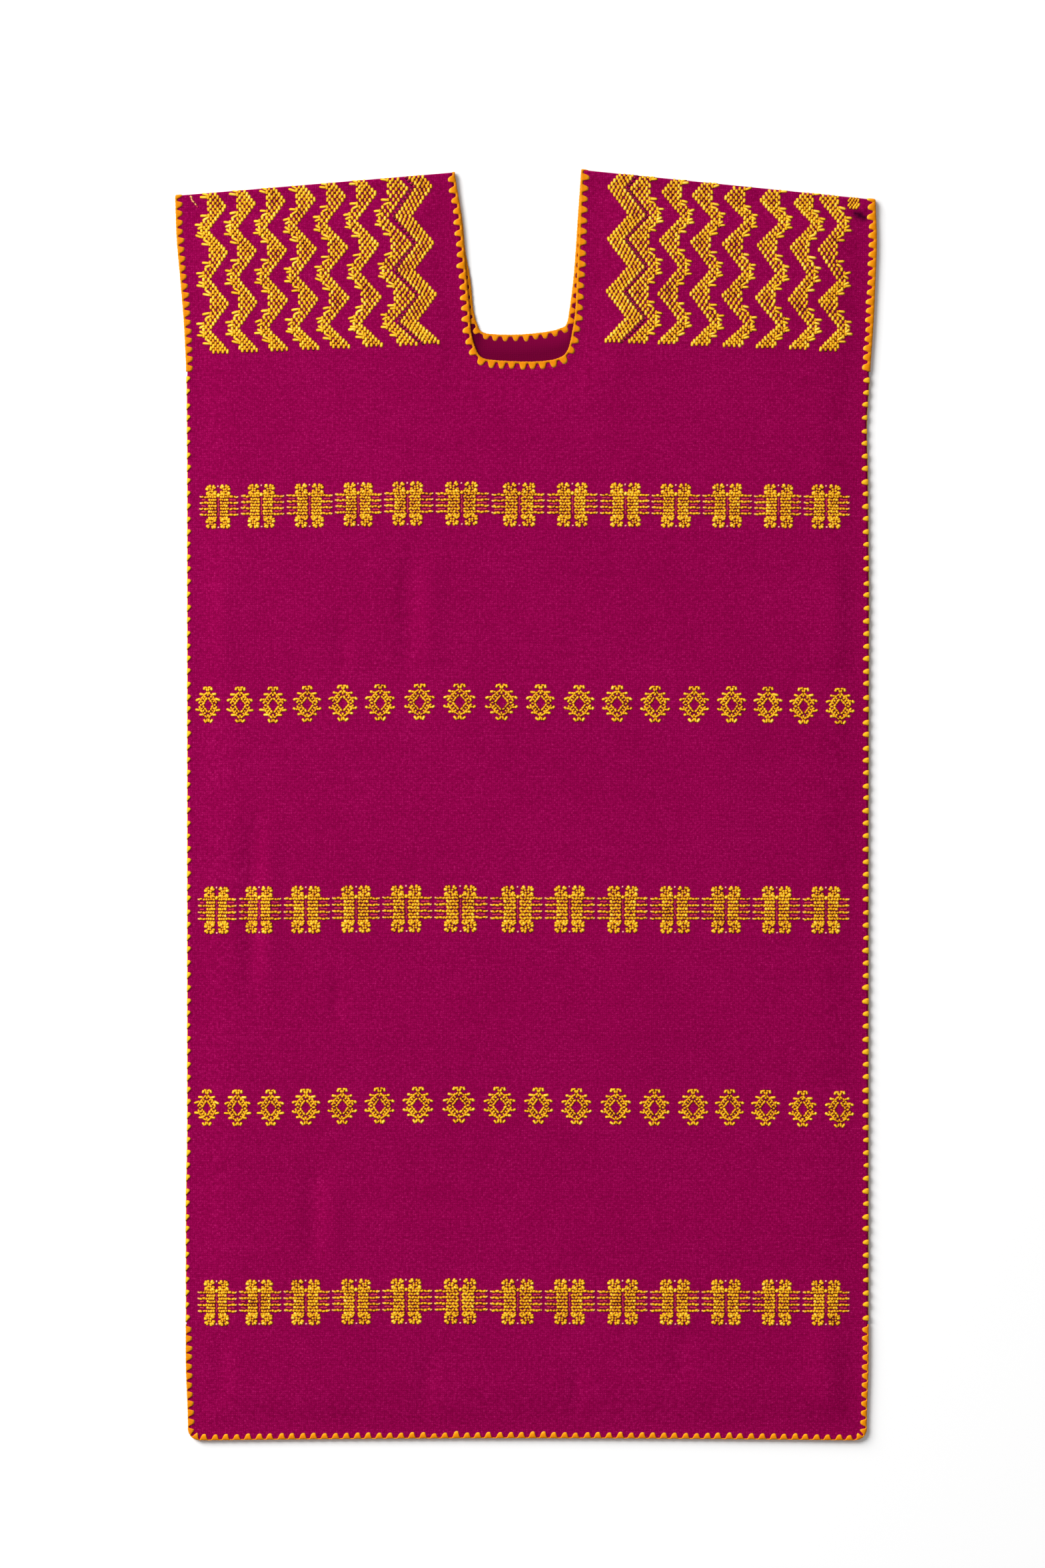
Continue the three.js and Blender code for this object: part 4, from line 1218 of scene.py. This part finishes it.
def wing(side, gap, swell, pitch, rise):
    """One side of a butterfly: its waist with the whiskers, then its two lobes."""
    made = []
    reach = gap / 2 - WHISKER_CLEAR
    for row in range(WAIST_ROWS):
        y = (WAIST_TOP - row) * pitch
        slip = WAIST_SLIP if row % 2 else 0.0
        fan = WAIST_FAN if row < WAIST_ROWS / 2 else -WAIST_FAN
        for k, (start, end) in enumerate(WAIST_FLOATS):
            near, far = start * (swell if k else 1), end * swell
            x = (near + far) / 2 - (slip if k else slip / 2)
            tilt = side * fan * k + (WAIST_TURN if (k + row) % 2 else -WAIST_TURN)
            kind = PALE_GOLD if k == 3 and row % 2 else GOLD
            half = (far - near) / 2 + WAIST_OVERLAP
            made.append((side * x, y, tilt, half, pitch * WAIST_WIDTH, rise, kind))
        if row % 2 == 0:
            made += whisker(side * WHISKER_FROM * swell, side * reach, y, side, rise, row)
        if row % 2 == 0 and row < WAIST_ROWS - 2:
            first = side * (SPECKS_FROM[0] * swell + SPECKS_FROM[1])
            made += row_floats(first, side * (reach - SPECKS_CLEAR), y - pitch, *SPECK_FLOAT, RED)
    for up in (-1, 1):
        made += lobe(side * LOBE_MIDDLE[0] * swell, up * LOBE_MIDDLE[1] * pitch, side, swell)
        for x, row, tilt in LOBE_ROOT:
            x = side * (x if x < ROOT_FIXED else x * swell)
            made.append((x, up * row * pitch, side * up * tilt, *ROOT_SIZE, rise, GOLD))
    return made


def butterfly(place, swell, left_gap, right_gap, pitch, rise):
    """Floats of one butterfly about its own middle height."""
    made = wing(-1, left_gap, swell, pitch, rise) + wing(1, right_gap, swell, pitch, rise)
    middle = [(*MIDDLE_KNOT, rise * KNOT_RISE, PALE_GOLD), *MIDDLE_TIES]
    made += [(x, row * pitch, *rest) for x, row, *rest in middle]
    return [(place + x, *rest) for x, *rest in made]


def along_stroke(points, length):
    """Places, angles and half lengths of floats end to end along a stroke."""
    line = resample(table(points), STROKE_STEP)
    gone = lengths(line)
    count = max(int(round(gone[-1] / length)), 1)
    at = gone[-1] * (np.arange(count) + 0.5) / count
    ahead = np.minimum(at + DIRECTION_REACH, gone[-1])
    behind = np.maximum(at - DIRECTION_REACH, 0)
    run = [np.interp(ahead, gone, line[:, k]) - np.interp(behind, gone, line[:, k]) for k in (0, 1)]
    half = gone[-1] / count * STROKE_OVERLAP
    x, y = (np.interp(at, gone, line[:, k]) for k in (0, 1))
    return [(float(px), float(py), math.atan2(b, a), half) for px, py, a, b in zip(x, y, *run)]


def diamond(place, half, lift, rise):
    """Floats of one hooked diamond about its band's height."""
    squeeze = half / DIAMOND_HALF
    made = []
    for side in (-1, 1):
        for number, stroke in enumerate(DIAMOND_STROKES):
            ring = number < RING_STROKES
            pieces = along_stroke([(side * squeeze * x, y) for x, y in stroke], STROKE_LENGTH)
            for k, (x, y, angle, reach) in enumerate(pieces):
                skew = (RING_SKEW if k % 2 else -RING_SKEW) if ring else 0
                kind = GOLD if ring or k < len(pieces) - 1 else PALE_GOLD
                made.append((x, y, angle + skew, reach, STROKE_HALF_WIDTH, rise, kind))
        for (x0, y0), (x1, y1) in DIAMOND_RUNGS:
            x, y = side * squeeze * (x0 + x1) / 2, (y0 + y1) / 2
            angle = math.atan2(y1 - y0, side * squeeze * (x1 - x0))
            reach = math.hypot(squeeze * (x1 - x0), y1 - y0) / 2
            made.append((x, y, angle, reach, RUNG_HALF_WIDTH, rise * RUNG_RISE, GOLD))
    return [(place + x, lift + y, *rest) for x, y, *rest in made]


class KAFTAN_OT_bands(bpy.types.Operator):
    """Weave the bands of butterflies and of hooked diamonds across front and back"""

    bl_idname = "kaftan.weave_bands"
    bl_label = "Band brocade"

    def execute(self, context):
        rise = context.scene.kaftan_brocade.float_height / MM
        for number, (height, pitch) in enumerate(BUTTERFLY_BANDS):
            places = [b[0 if number == 0 else 1] for b in BUTTERFLIES]
            gaps = [OUTER_GAPS[0], *np.diff(places), OUTER_GAPS[1]]
            made = []
            for k, (_, _, half, lift) in enumerate(BUTTERFLIES):
                lifted = height + lift * (LATER_LIFT if number else 1)
                swell = half / BUTTERFLY_HALF
                made.append(place_floats(
                    butterfly(places[k], swell, gaps[k], gaps[k + 1], pitch, rise), lifted
                ))
            add_floats(f"butterfly_band_{number + 1}", np.vstack(made), SEEDS["butterflies"] + number)
        for number, height in enumerate(DIAMOND_HEIGHTS):
            made = []
            for first, second, half, lift in DIAMONDS:
                made += diamond((first, second)[number], half, lift, rise)
            floats = place_floats(made, height)
            add_floats(f"diamond_band_{number + 1}", floats, SEEDS["diamonds"] + number)
        return {"FINISHED"}


# Stitched edging, laid out on the web as it is before it is folded: u runs on from the front's own
# height, over the fold and down the back


def back_u(x, y):
    """Where a point of the back lies in the web laid out flat."""
    return 2 * (fold_foot(x) + QUARTER_TURN) - y


def turned_back(line):
    """The back's edge that lies behind a line of the front, in the flat web and the other way round."""
    return np.column_stack([line[:, 0], back_u(line[:, 0], line[:, 1])])[::-1]


def on_flat_web(x, u, height):
    return on_web(x, fold_foot(x) + QUARTER_TURN - u, height, shoulder_line(x))


# How far stitches stray along the edge as a share of their pitch. A stitch's outline is a power of a
# power. The side that slopes is wider and tapers more, by these values, and the steep side less.
STITCH_STRAY = 0.03
STITCH_POWERS = (3.0, 0.55)
SLOPE_POWERS = (-0.8, 0.15)
SLOPE_WIDTH = 0.25


def stitch_phase(step_lengths, pitches, first, last):
    """Count of stitches gone by at each station, running from first to a whole number plus last."""
    gone = np.concatenate([[0], np.cumsum(step_lengths / ((pitches[1:] + pitches[:-1]) / 2))])
    whole = max(round(gone[-1] - last + first), 1)
    return first + gone / gone[-1] * (whole + last - first)


def edge_profile(line, kinds, first, last, seed, uneven):
    """How far the stitching reaches onto the cloth at each station, and how full it is there. Each
    stitch has a steep side and a side that slopes."""
    pitch, length, half_base, rail, _, steep_down, steep_right, stretch = kinds.T
    run = np.gradient(line, axis=0)
    run /= np.linalg.norm(run, axis=1)[:, None]
    pitch = pitch + stretch * np.abs(run[:, 1])
    phase = stitch_phase(np.linalg.norm(np.diff(line, axis=0), axis=1), pitch, first, last)
    draw = np.random.default_rng(seed)
    number = np.round(phase).astype(int)
    count = number.max() - number.min() + 1
    scales = draw.normal(1, uneven, count)[number - number.min()]
    shifts = draw.normal(0, STITCH_STRAY, count)[number - number.min()]
    off = (phase - number - shifts) * pitch
    lean = (steep_down * run[:, 1] - steep_right * run[:, 0]) * np.sign(off)
    within = np.clip(np.abs(off) / (half_base * (1 + SLOPE_WIDTH * lean)), 0, 1)
    inner, outer = (power + slope * lean for power, slope in zip(STITCH_POWERS, SLOPE_POWERS))
    full = (1 - within**inner) ** outer
    return rail + length * scales * full, full


# The stitching's section from its outer edge inwards: shares of its span and of its height on top,
# then shares of its span and of its depth underneath, and how far its dark rim, a painted shadow,
# reaches onto the cloth
TOP_SHARES = np.array([0, 0.04, 0.14, 0.34, 0.64, 0.86, 0.97, 1.0])
TOP_RISES = np.array([0, 0.62, 0.93, 1.0, 1.0, 0.86, 0.45, 0.03])
UNDER_SHARES = np.array([0.97, 0.64, 0.12])
UNDER_DEPTHS = np.array([0.1, 1.0, 0.9])
SHADOW_RIM = 0.45

# How thin the stitching is between stitches, how far in its colour turns from orange to yellow, the
# outer edge's unevenness as waves, by height and turn in each millimetre, and the step between rings
RAIL_THINNESS = 0.72
YELLOW_REACH = 6.0
EDGE_WAVES = [(0.10, 1.7), (0.07, 0.53)]
STATION_STEP = 0.65

# How thick the stitching is under the cloth, and at the neck, where it shows inside
UNDER_THICK = 0.2
NECK_UNDER_THICK = 0.35


def edging_points(line, reach, full, outward, thick, under_thick):
    """Rings of points round the stitching, one for each station of the line."""
    normals = left_normals(line)
    gone = lengths(line)
    outer = outward + sum(high * np.sin(gone * turn) for high, turn in EDGE_WAVES)
    span = (outer + reach)[:, None]
    fullness = (RAIL_THINNESS + (1 - RAIL_THINNESS) * full)[:, None]
    top_out = outer[:, None] - span * TOP_SHARES
    top_high = -SHELL / 2 + (SHELL / 2 + thick * fullness) * TOP_RISES
    top_high = np.where(TOP_SHARES > 0.5, thick * fullness * TOP_RISES, top_high)
    rim_out = -reach[:, None] - SHADOW_RIM
    rim_high = np.full_like(rim_out, LOWEST)
    under_out = outer[:, None] - span * UNDER_SHARES
    under_high = np.broadcast_to(-SHELL - under_thick * UNDER_DEPTHS, under_out.shape)
    out = np.hstack([top_out, rim_out, under_out])
    high = np.hstack([top_high, rim_high, under_high])
    x = line[:, 0, None] + normals[:, 0, None] * out
    u = line[:, 1, None] + normals[:, 1, None] * out
    points = on_flat_web(x, u, high)
    deep = np.clip(-out / YELLOW_REACH, 0, 1)
    # The ring on the cloth carries the dark painted shadow round the stitching
    rim = np.zeros_like(out)
    rim[:, len(TOP_SHARES)] = 1
    size = out.shape[1]
    return points, size, deep.ravel(), np.repeat(gone, size), rim.ravel()


def tube_faces(rings, size, closed=False):
    """Faces of a tube through rings of points, capped unless it closes on itself."""
    r = np.arange(rings if closed else rings - 1)[:, None] * size
    ahead_r = (r + size) % (rings * size)
    k = np.arange(size)
    ahead = (k + 1) % size
    sides = np.stack([r + k, r + ahead, ahead_r + ahead, ahead_r + k], axis=-1).reshape(-1, 4)
    if closed:
        return [sides]
    last = (rings - 1) * size
    return [sides, np.array([k[::-1], last + k])]


def add_edging(name, stretches, nodes, settings, seed, under_thick=UNDER_THICK, closed=False):
    """One strip of stitching. Each stretch has its line in the flat web, with the open side on the
    left of travel, the kind of stitch, and the first and last phase of its stitches."""
    lines, shapes = [], []
    for number, (points, kind, first, last) in enumerate(stretches):
        line = resample(table(points), STATION_STEP)
        kinds = np.broadcast_to(np.array(kind, dtype=float), (len(line), len(kind)))
        reach, full = edge_profile(line, kinds, first, last, seed + number, settings.unevenness)
        keep = slice(1 if number else 0, None)
        lines.append(line[keep])
        shapes.append(np.column_stack([reach, full, kinds[:, 4]])[keep])
    line, shape = np.vstack(lines), np.vstack(shapes)
    if closed:
        line, shape = line[:-1], shape[:-1]
    reach, full, outward = shape.T.copy()
    soft = np.array([0.25, 0.5, 0.25])
    reach[1:-1] = np.convolve(reach, soft, "valid")
    thick = settings.thread_height / MM
    points, size, deep, along, rim = edging_points(line, reach, full, outward, thick, under_thick)
    piece = new_piece(
        name, points, tube_faces(len(line), size, closed), [edging_yarn()],
        {"reach": deep, "along": along, "rim": rim},
    )
    finish_piece(piece, "edging_yarn", *nodes)


def below_fold(part):
    return part[part[:, 1] < fold_foot(part[:, 0])]


class KAFTAN_OT_neck(bpy.types.Operator):
    """Stitch the edging of the neck, all round over both shoulders"""

    bl_idname = "kaftan.stitch_neck"
    bl_label = "Neck edging"

    def execute(self, context):
        settings = context.scene.kaftan_edging
        front = below_fold(FRONT_NECK)
        back = turned_back(below_fold(BACK_NECK))
        loop = [
            (np.vstack([back[-1:], front, back[:1]]), NECK_STITCH, 0.0, 0.0),
            (back, NECK_BACK_STITCH, 0.0, 0.0),
        ]
        nodes = ["neck_edging_front", "neck_edging_back"]
        add_edging("neck_stitching", loop, nodes, settings, SEEDS["neck"], NECK_UNDER_THICK, closed=True)
        return {"FINISHED"}


# Height at which an armhole's edge meets the fold, how much of a stitch its lower ends hold, and the
# distance between the points that trace it
ARM_FOLD_Y = 637.0
ARM_PHASE = 0.4
ARM_STEP = 1.0


class KAFTAN_OT_armholes(bpy.types.Operator):
    """Stitch the edging of both armholes, over the fold from the front's edge to the back's"""

    bl_idname = "kaftan.stitch_armholes"
    bl_label = "Armhole edging"

    def execute(self, context):
        settings = context.scene.kaftan_edging
        for side, edge, stitch in (
            ("left", left_edge, LEFT_ARMHOLE_STITCH), ("right", right_edge, RIGHT_ARMHOLE_STITCH),
        ):
            top = float(fold_foot(edge(np.array(ARM_FOLD_Y))))
            y = np.arange(ARMHOLE_END + 2 * ARM_STEP, top, ARM_STEP)
            front = np.column_stack([edge(y), y])
            middle = [[front[-1, 0], top + QUARTER_TURN]]
            halves = [
                (np.vstack([front, middle]), stitch, -ARM_PHASE, 0.0),
                (np.vstack([middle, turned_back(front)]), stitch, 0.0, ARM_PHASE),
            ]
            if side == "right":
                halves = [(line[::-1], kind, -last, -first) for line, kind, first, last in halves[::-1]]
            nodes = [f"armhole_edging_{side}_{layer}" for layer in ("front", "back")]
            seed = SEEDS["armholes"] + len(side)
            add_edging(f"armhole_stitching_{side}", halves, nodes, settings, seed)
        return {"FINISHED"}


# Outline of one whip stitch from above: how far in from the outer edge, and height off its middle
LEFT_WHIP = [
    (0.15, 3.3), (1.8, 3.5), (3.5, 3.0), (4.4, 1.9), (4.2, 0.7), (3.0, -0.7), (1.6, -2.1),
    (0.5, -3.6), (0, -3.9),
]
RIGHT_WHIP = [
    (0, 3.2), (2.2, 2.9), (4.4, 2.1), (6.1, 0.7), (6.5, -0.7), (5.6, -2.0), (3.6, -2.6),
    (1.6, -2.9), (0, -3.4),
]

# Each side's edge, the way that it faces in, and its stitch
SIDES = {"left": (LEFT_SIDE, 1, LEFT_WHIP), "right": (RIGHT_SIDE, -1, RIGHT_WHIP)}

# Room below the armhole and above the slit, and how much stitches stray in height and in size
WHIP_CLEAR = 7
SLIT_CLEAR = 2
WHIP_STRAY = 0.5
WHIP_SPREAD = 0.05

# Rings of a stitch: share of its outline and of its rise, then the crown value of each ring and of
# the top, dark at the foot as painted shade. Points nearer the outer edge than EDGE_REACH stand out
# over both layers' edges, and the lowest of them are near the surface that the kaftan lies on.
WHIP_RINGS = [(1.0, 0.0), (0.88, 0.55), (0.5, 0.95)]
WHIP_CROWNS = (0.0, 0.5, 0.9, 1.0)
WHIP_RISE = 0.95
WHIP_TOP = 1.05
EDGE_REACH = 0.3
EDGE_OUT = 0.25
EDGE_ROUND = 0.8
EDGE_LOW = 0.12

# The cord that the stitches pull along the edge: room at its ends, how far in it lies, its height, its
# half width and half height, its corners and the distance between its rings
CORD_CLEAR = 4
CORD_IN = 0.55
CORD_HEIGHT = 1.5
CORD_HALF = (0.5, 0.75)
CORD_CORNERS = 6
CORD_STEP = 4.0
CORD_CROWN = 0.6


def whip_stitch(outline, x_edge, y, top, sign, scale):
    """Points of one whip stitch: an outline on the cloth, two lower rings inside it and a crown, with
    the stitch's outer side carried down over both layers' edges."""
    rim = table(outline) * scale
    centre = rim.mean(axis=0)
    outer = rim[:, 0] < EDGE_REACH
    rings = []
    for shrink, high in WHIP_RINGS:
        ring = centre + (rim - centre) * shrink
        ring[outer, 0] = rim[outer, 0] - EDGE_OUT + (1 - shrink) * EDGE_ROUND
        z = np.full(len(rim), top + high * WHIP_RISE)
        if high == 0:
            z[outer] = EDGE_LOW
        rings.append(np.column_stack([x_edge + sign * ring[:, 0], y + ring[:, 1], z]))
    crown = [x_edge + sign * centre[0], y + centre[1], top + WHIP_TOP]
    return np.vstack([*rings, [crown]])


def whip_faces(size, first):
    """The sides, the cap and the base of one whip stitch, from its first point's number."""
    k = np.arange(size)
    ahead = (k + 1) % size
    sides = []
    for low in (first, first + size):
        sides.append(np.column_stack([low + k, low + size + k, low + size + ahead, low + ahead]))
    last = first + 2 * size
    cap = np.column_stack([last + k, np.full(size, last + size), last + ahead])
    return np.vstack(sides), cap, (first + k)[None, :]


def edge_cord(rows, sign):
    """Rings of points of the cord along a closed side, and how many there are."""
    y = np.arange(SLIT_TOP + CORD_CLEAR, ARMHOLE_END - CORD_CLEAR, CORD_STEP)
    x = soft_interp(y, rows) + sign * CORD_IN
    turns = 2 * math.pi * np.arange(CORD_CORNERS) / CORD_CORNERS
    flat = (len(y), CORD_CORNERS)
    cord = np.stack([
        x[:, None] + CORD_HALF[0] * np.cos(turns) * sign, np.broadcast_to(y[:, None], flat),
        np.broadcast_to(CORD_HEIGHT + CORD_HALF[1] * np.sin(turns), flat),
    ], axis=-1)
    return cord.reshape(-1, 3), len(y)


class KAFTAN_OT_sides(bpy.types.Operator):
    """Sew the whip stitches that close the sides between armhole and slit, along a cord"""

    bl_idname = "kaftan.stitch_sides"
    bl_label = "Side stitches"

    def execute(self, context):
        pitch = context.scene.kaftan_edging.whip_pitch / MM
        for side, (rows, sign, outline) in SIDES.items():
            draw = np.random.default_rng(SEEDS["sides"] + sign)
            heights = np.arange(ARMHOLE_END - WHIP_CLEAR, SLIT_TOP + SLIT_CLEAR, -pitch)
            heights = heights + draw.normal(0, WHIP_STRAY, len(heights))
            size = len(outline)
            points, faces = [], []
            for y in heights:
                x = float(soft_interp(y, rows))
                top = float(front_face(np.array(x), np.array(y)))
                faces.append(whip_faces(size, len(points) * (3 * size + 1)))
                points.append(whip_stitch(outline, x, y, top, sign, draw.normal(1, WHIP_SPREAD)))
            cord, rings = edge_cord(rows, sign)
            gone = len(points) * (3 * size + 1)
            tube, ends = (part[:, ::-1] + gone for part in tube_faces(rings, CORD_CORNERS))
            quads, caps, bases = (np.vstack(parts) for parts in zip(*faces))
            faces = [np.vstack([quads, tube]), caps, bases, ends]
            if sign < 0:
                faces = [part[:, ::-1] for part in faces]
            # The crown value paints each stitch dark at its foot as painted shade
            crown = np.tile(np.repeat(WHIP_CROWNS, [size, size, size, 1]), len(points))
            piece = new_piece(
                f"side_stitches_{side}", np.vstack([*points, cord]), faces, [seam_yarn()],
                {"crown": np.append(crown, np.full(len(cord), CORD_CROWN))},
            )
            finish_piece(piece, "seam_yarn", f"side_seam_{side}")
        return {"FINISHED"}


# Points round each corner of the hem, how far above the corner its side's place is taken, and the
# distance between points down a slit and along the hem
CORNER_POINTS = 10
ABOVE_CORNER = 5
SLIT_STEP = 2.0
HEM_STEP = 4.0


class KAFTAN_OT_hem(bpy.types.Operator):
    """Stitch the edging of the slits and the hem"""

    bl_idname = "kaftan.stitch_hem"
    bl_label = "Hem edging"

    def execute(self, context):
        settings = context.scene.kaftan_edging
        low = HEM_LOW + HEM_INSET + CORNER_RADIUS
        y = np.arange(SLIT_TOP, low + SLIT_STEP / 2, -SLIT_STEP)
        turn = np.linspace(0, math.pi / 2, CORNER_POINTS)
        corner_y = HEM_LOW + HEM_INSET + CORNER_RADIUS * (1 - np.sin(turn))
        corner_x = CORNER_RADIUS * (1 - np.cos(turn))
        right_x, left_x = (float(edge(np.array(low + ABOVE_CORNER))) for edge in (right_edge, left_edge))
        right = np.vstack([
            np.column_stack([right_edge(y), y]), np.column_stack([right_x - corner_x, corner_y]),
        ])
        left = np.vstack([
            np.column_stack([left_x + corner_x, corner_y])[::-1], np.column_stack([left_edge(y), y])[::-1],
        ])
        across = np.arange(right[-1, 0] - HEM_STEP / 2, left[0, 0] + HEM_STEP / 2, -HEM_STEP)
        bottom = np.vstack([right[-1:], np.column_stack([across, hem_line(across)]), left[:1]])
        stretches = [(right, SLIT_STITCH), (bottom, HEM_STITCH), (left, SLIT_STITCH)]
        for number, layer in enumerate(("front", "back")):
            laid = [(line, kind, -0.5, 0.5) for line, kind in stretches]
            if layer == "back":
                laid = [(turned_back(line), *rest) for line, *rest in laid[::-1]]
            seed = SEEDS["hem"] + number
            add_edging(f"hem_stitching_{layer}", laid, [f"hem_edging_{layer}"], settings, seed)
        return {"FINISHED"}


# Stage


FLOOR_SIZE = 120
FLOOR_HEIGHT = -0.0006
FLOOR_ROUGHNESS = 0.9

# Direction and distance in metres of each light
TOWARD_KEY = (-0.66, 0.66, 0.42)
KEY_DISTANCE = 2.0
TOWARD_LAMP = (-0.95, 0.42, 0.62)
LAMP_DISTANCE = 2.6
LAMP_SIZE = 1.2

SENSOR_WIDTH = 36.0
CAMERA_AT = (-0.00385, 0.02205)


class KAFTAN_OT_stage(bpy.types.Operator):
    """Set the white floor, the soft light from the upper left and the camera straight above"""

    bl_idname = "kaftan.set_stage"
    bl_label = "Stage"

    def execute(self, context):
        settings = context.scene.kaftan_stage
        scene = context.scene
        bpy.ops.object.select_all(action="DESELECT")
        bpy.ops.mesh.primitive_plane_add(size=FLOOR_SIZE, location=(0, 0, FLOOR_HEIGHT))
        floor = context.active_object
        floor.name = "white_floor"
        material, _, shader = new_material("white_paper_floor")
        shader.inputs["Base Color"].default_value = linear("#FFFFFF")
        shader.inputs["Roughness"].default_value = FLOOR_ROUGHNESS
        shader.inputs["Specular IOR Level"].default_value = 0.0
        floor.data.materials.append(material)

        world = bpy.data.worlds.new("studio")
        world.use_nodes = True
        background = world.node_tree.nodes["Background"]
        background.inputs["Color"].default_value = (1, 1, 1, 1)
        background.inputs["Strength"].default_value = settings.sky
        scene.world = world

        sun = bpy.data.lights.new("soft_key", "SUN")
        sun.energy = settings.key_strength
        sun.angle = settings.key_softness
        lamp = bpy.data.lights.new("corner_lamp", "AREA")
        lamp.energy = settings.lamp_power
        lamp.size = LAMP_SIZE
        for light, aim, distance in ((sun, TOWARD_KEY, KEY_DISTANCE), (lamp, TOWARD_LAMP, LAMP_DISTANCE)):
            toward = Vector(aim)
            made = bpy.data.objects.new(light.name, light)
            made.location = toward.normalized() * distance
            made.rotation_euler = (-toward).to_track_quat("-Z", "Y").to_euler()
            scene.collection.objects.link(made)

        lens = bpy.data.cameras.new("camera")
        lens.lens = settings.lens
        lens.sensor_width = SENSOR_WIDTH
        camera = bpy.data.objects.new("camera", lens)
        camera.location = (*CAMERA_AT, settings.view_height * settings.lens / SENSOR_WIDTH)
        scene.collection.objects.link(camera)
        scene.camera = camera
        scene.view_settings.view_transform = "Standard"
        scene.view_settings.look = "None"
        return {"FINISHED"}


STEPS = (
    KAFTAN_OT_cloth, KAFTAN_OT_yoke, KAFTAN_OT_bands, KAFTAN_OT_neck, KAFTAN_OT_armholes,
    KAFTAN_OT_sides, KAFTAN_OT_hem, KAFTAN_OT_stage,
)


class KAFTAN_PT_sidebar(bpy.types.Panel):
    """The kaftan's pieces in the order in which they are made"""

    bl_idname = "KAFTAN_PT_sidebar"
    bl_label = "Kaftan"
    bl_space_type = "VIEW_3D"
    bl_region_type = "UI"
    bl_category = "Kaftan"

    def draw(self, context):
        for step in STEPS:
            self.layout.operator(step.bl_idname)
        for group in (
            context.scene.kaftan_cloth, context.scene.kaftan_brocade,
            context.scene.kaftan_edging, context.scene.kaftan_stage,
        ):
            box = self.layout.box()
            for key in group.bl_rna.properties.keys():
                if key not in ("rna_type", "name"):
                    box.prop(group, key)


GROUPS = {
    "kaftan_cloth": KaftanCloth, "kaftan_brocade": KaftanBrocade,
    "kaftan_edging": KaftanEdging, "kaftan_stage": KaftanStage,
}


def register():
    for group in GROUPS.values():
        bpy.utils.register_class(group)
    for key, group in GROUPS.items():
        setattr(bpy.types.Scene, key, bpy.props.PointerProperty(type=group))
    for cls in (*STEPS, KAFTAN_PT_sidebar):
        bpy.utils.register_class(cls)


def unregister():
    for cls in (KAFTAN_PT_sidebar, *reversed(STEPS)):
        bpy.utils.unregister_class(cls)
    for key in GROUPS:
        delattr(bpy.types.Scene, key)
    for group in reversed(list(GROUPS.values())):
        bpy.utils.unregister_class(group)


def main():
    register()
    bpy.ops.kaftan.set_stage()
    bpy.ops.kaftan.add_cloth()
    bpy.ops.kaftan.weave_yoke()
    bpy.ops.kaftan.weave_bands()
    bpy.ops.kaftan.stitch_neck()
    bpy.ops.kaftan.stitch_armholes()
    bpy.ops.kaftan.stitch_sides()
    bpy.ops.kaftan.stitch_hem()


if __name__ == "__main__":
    main()
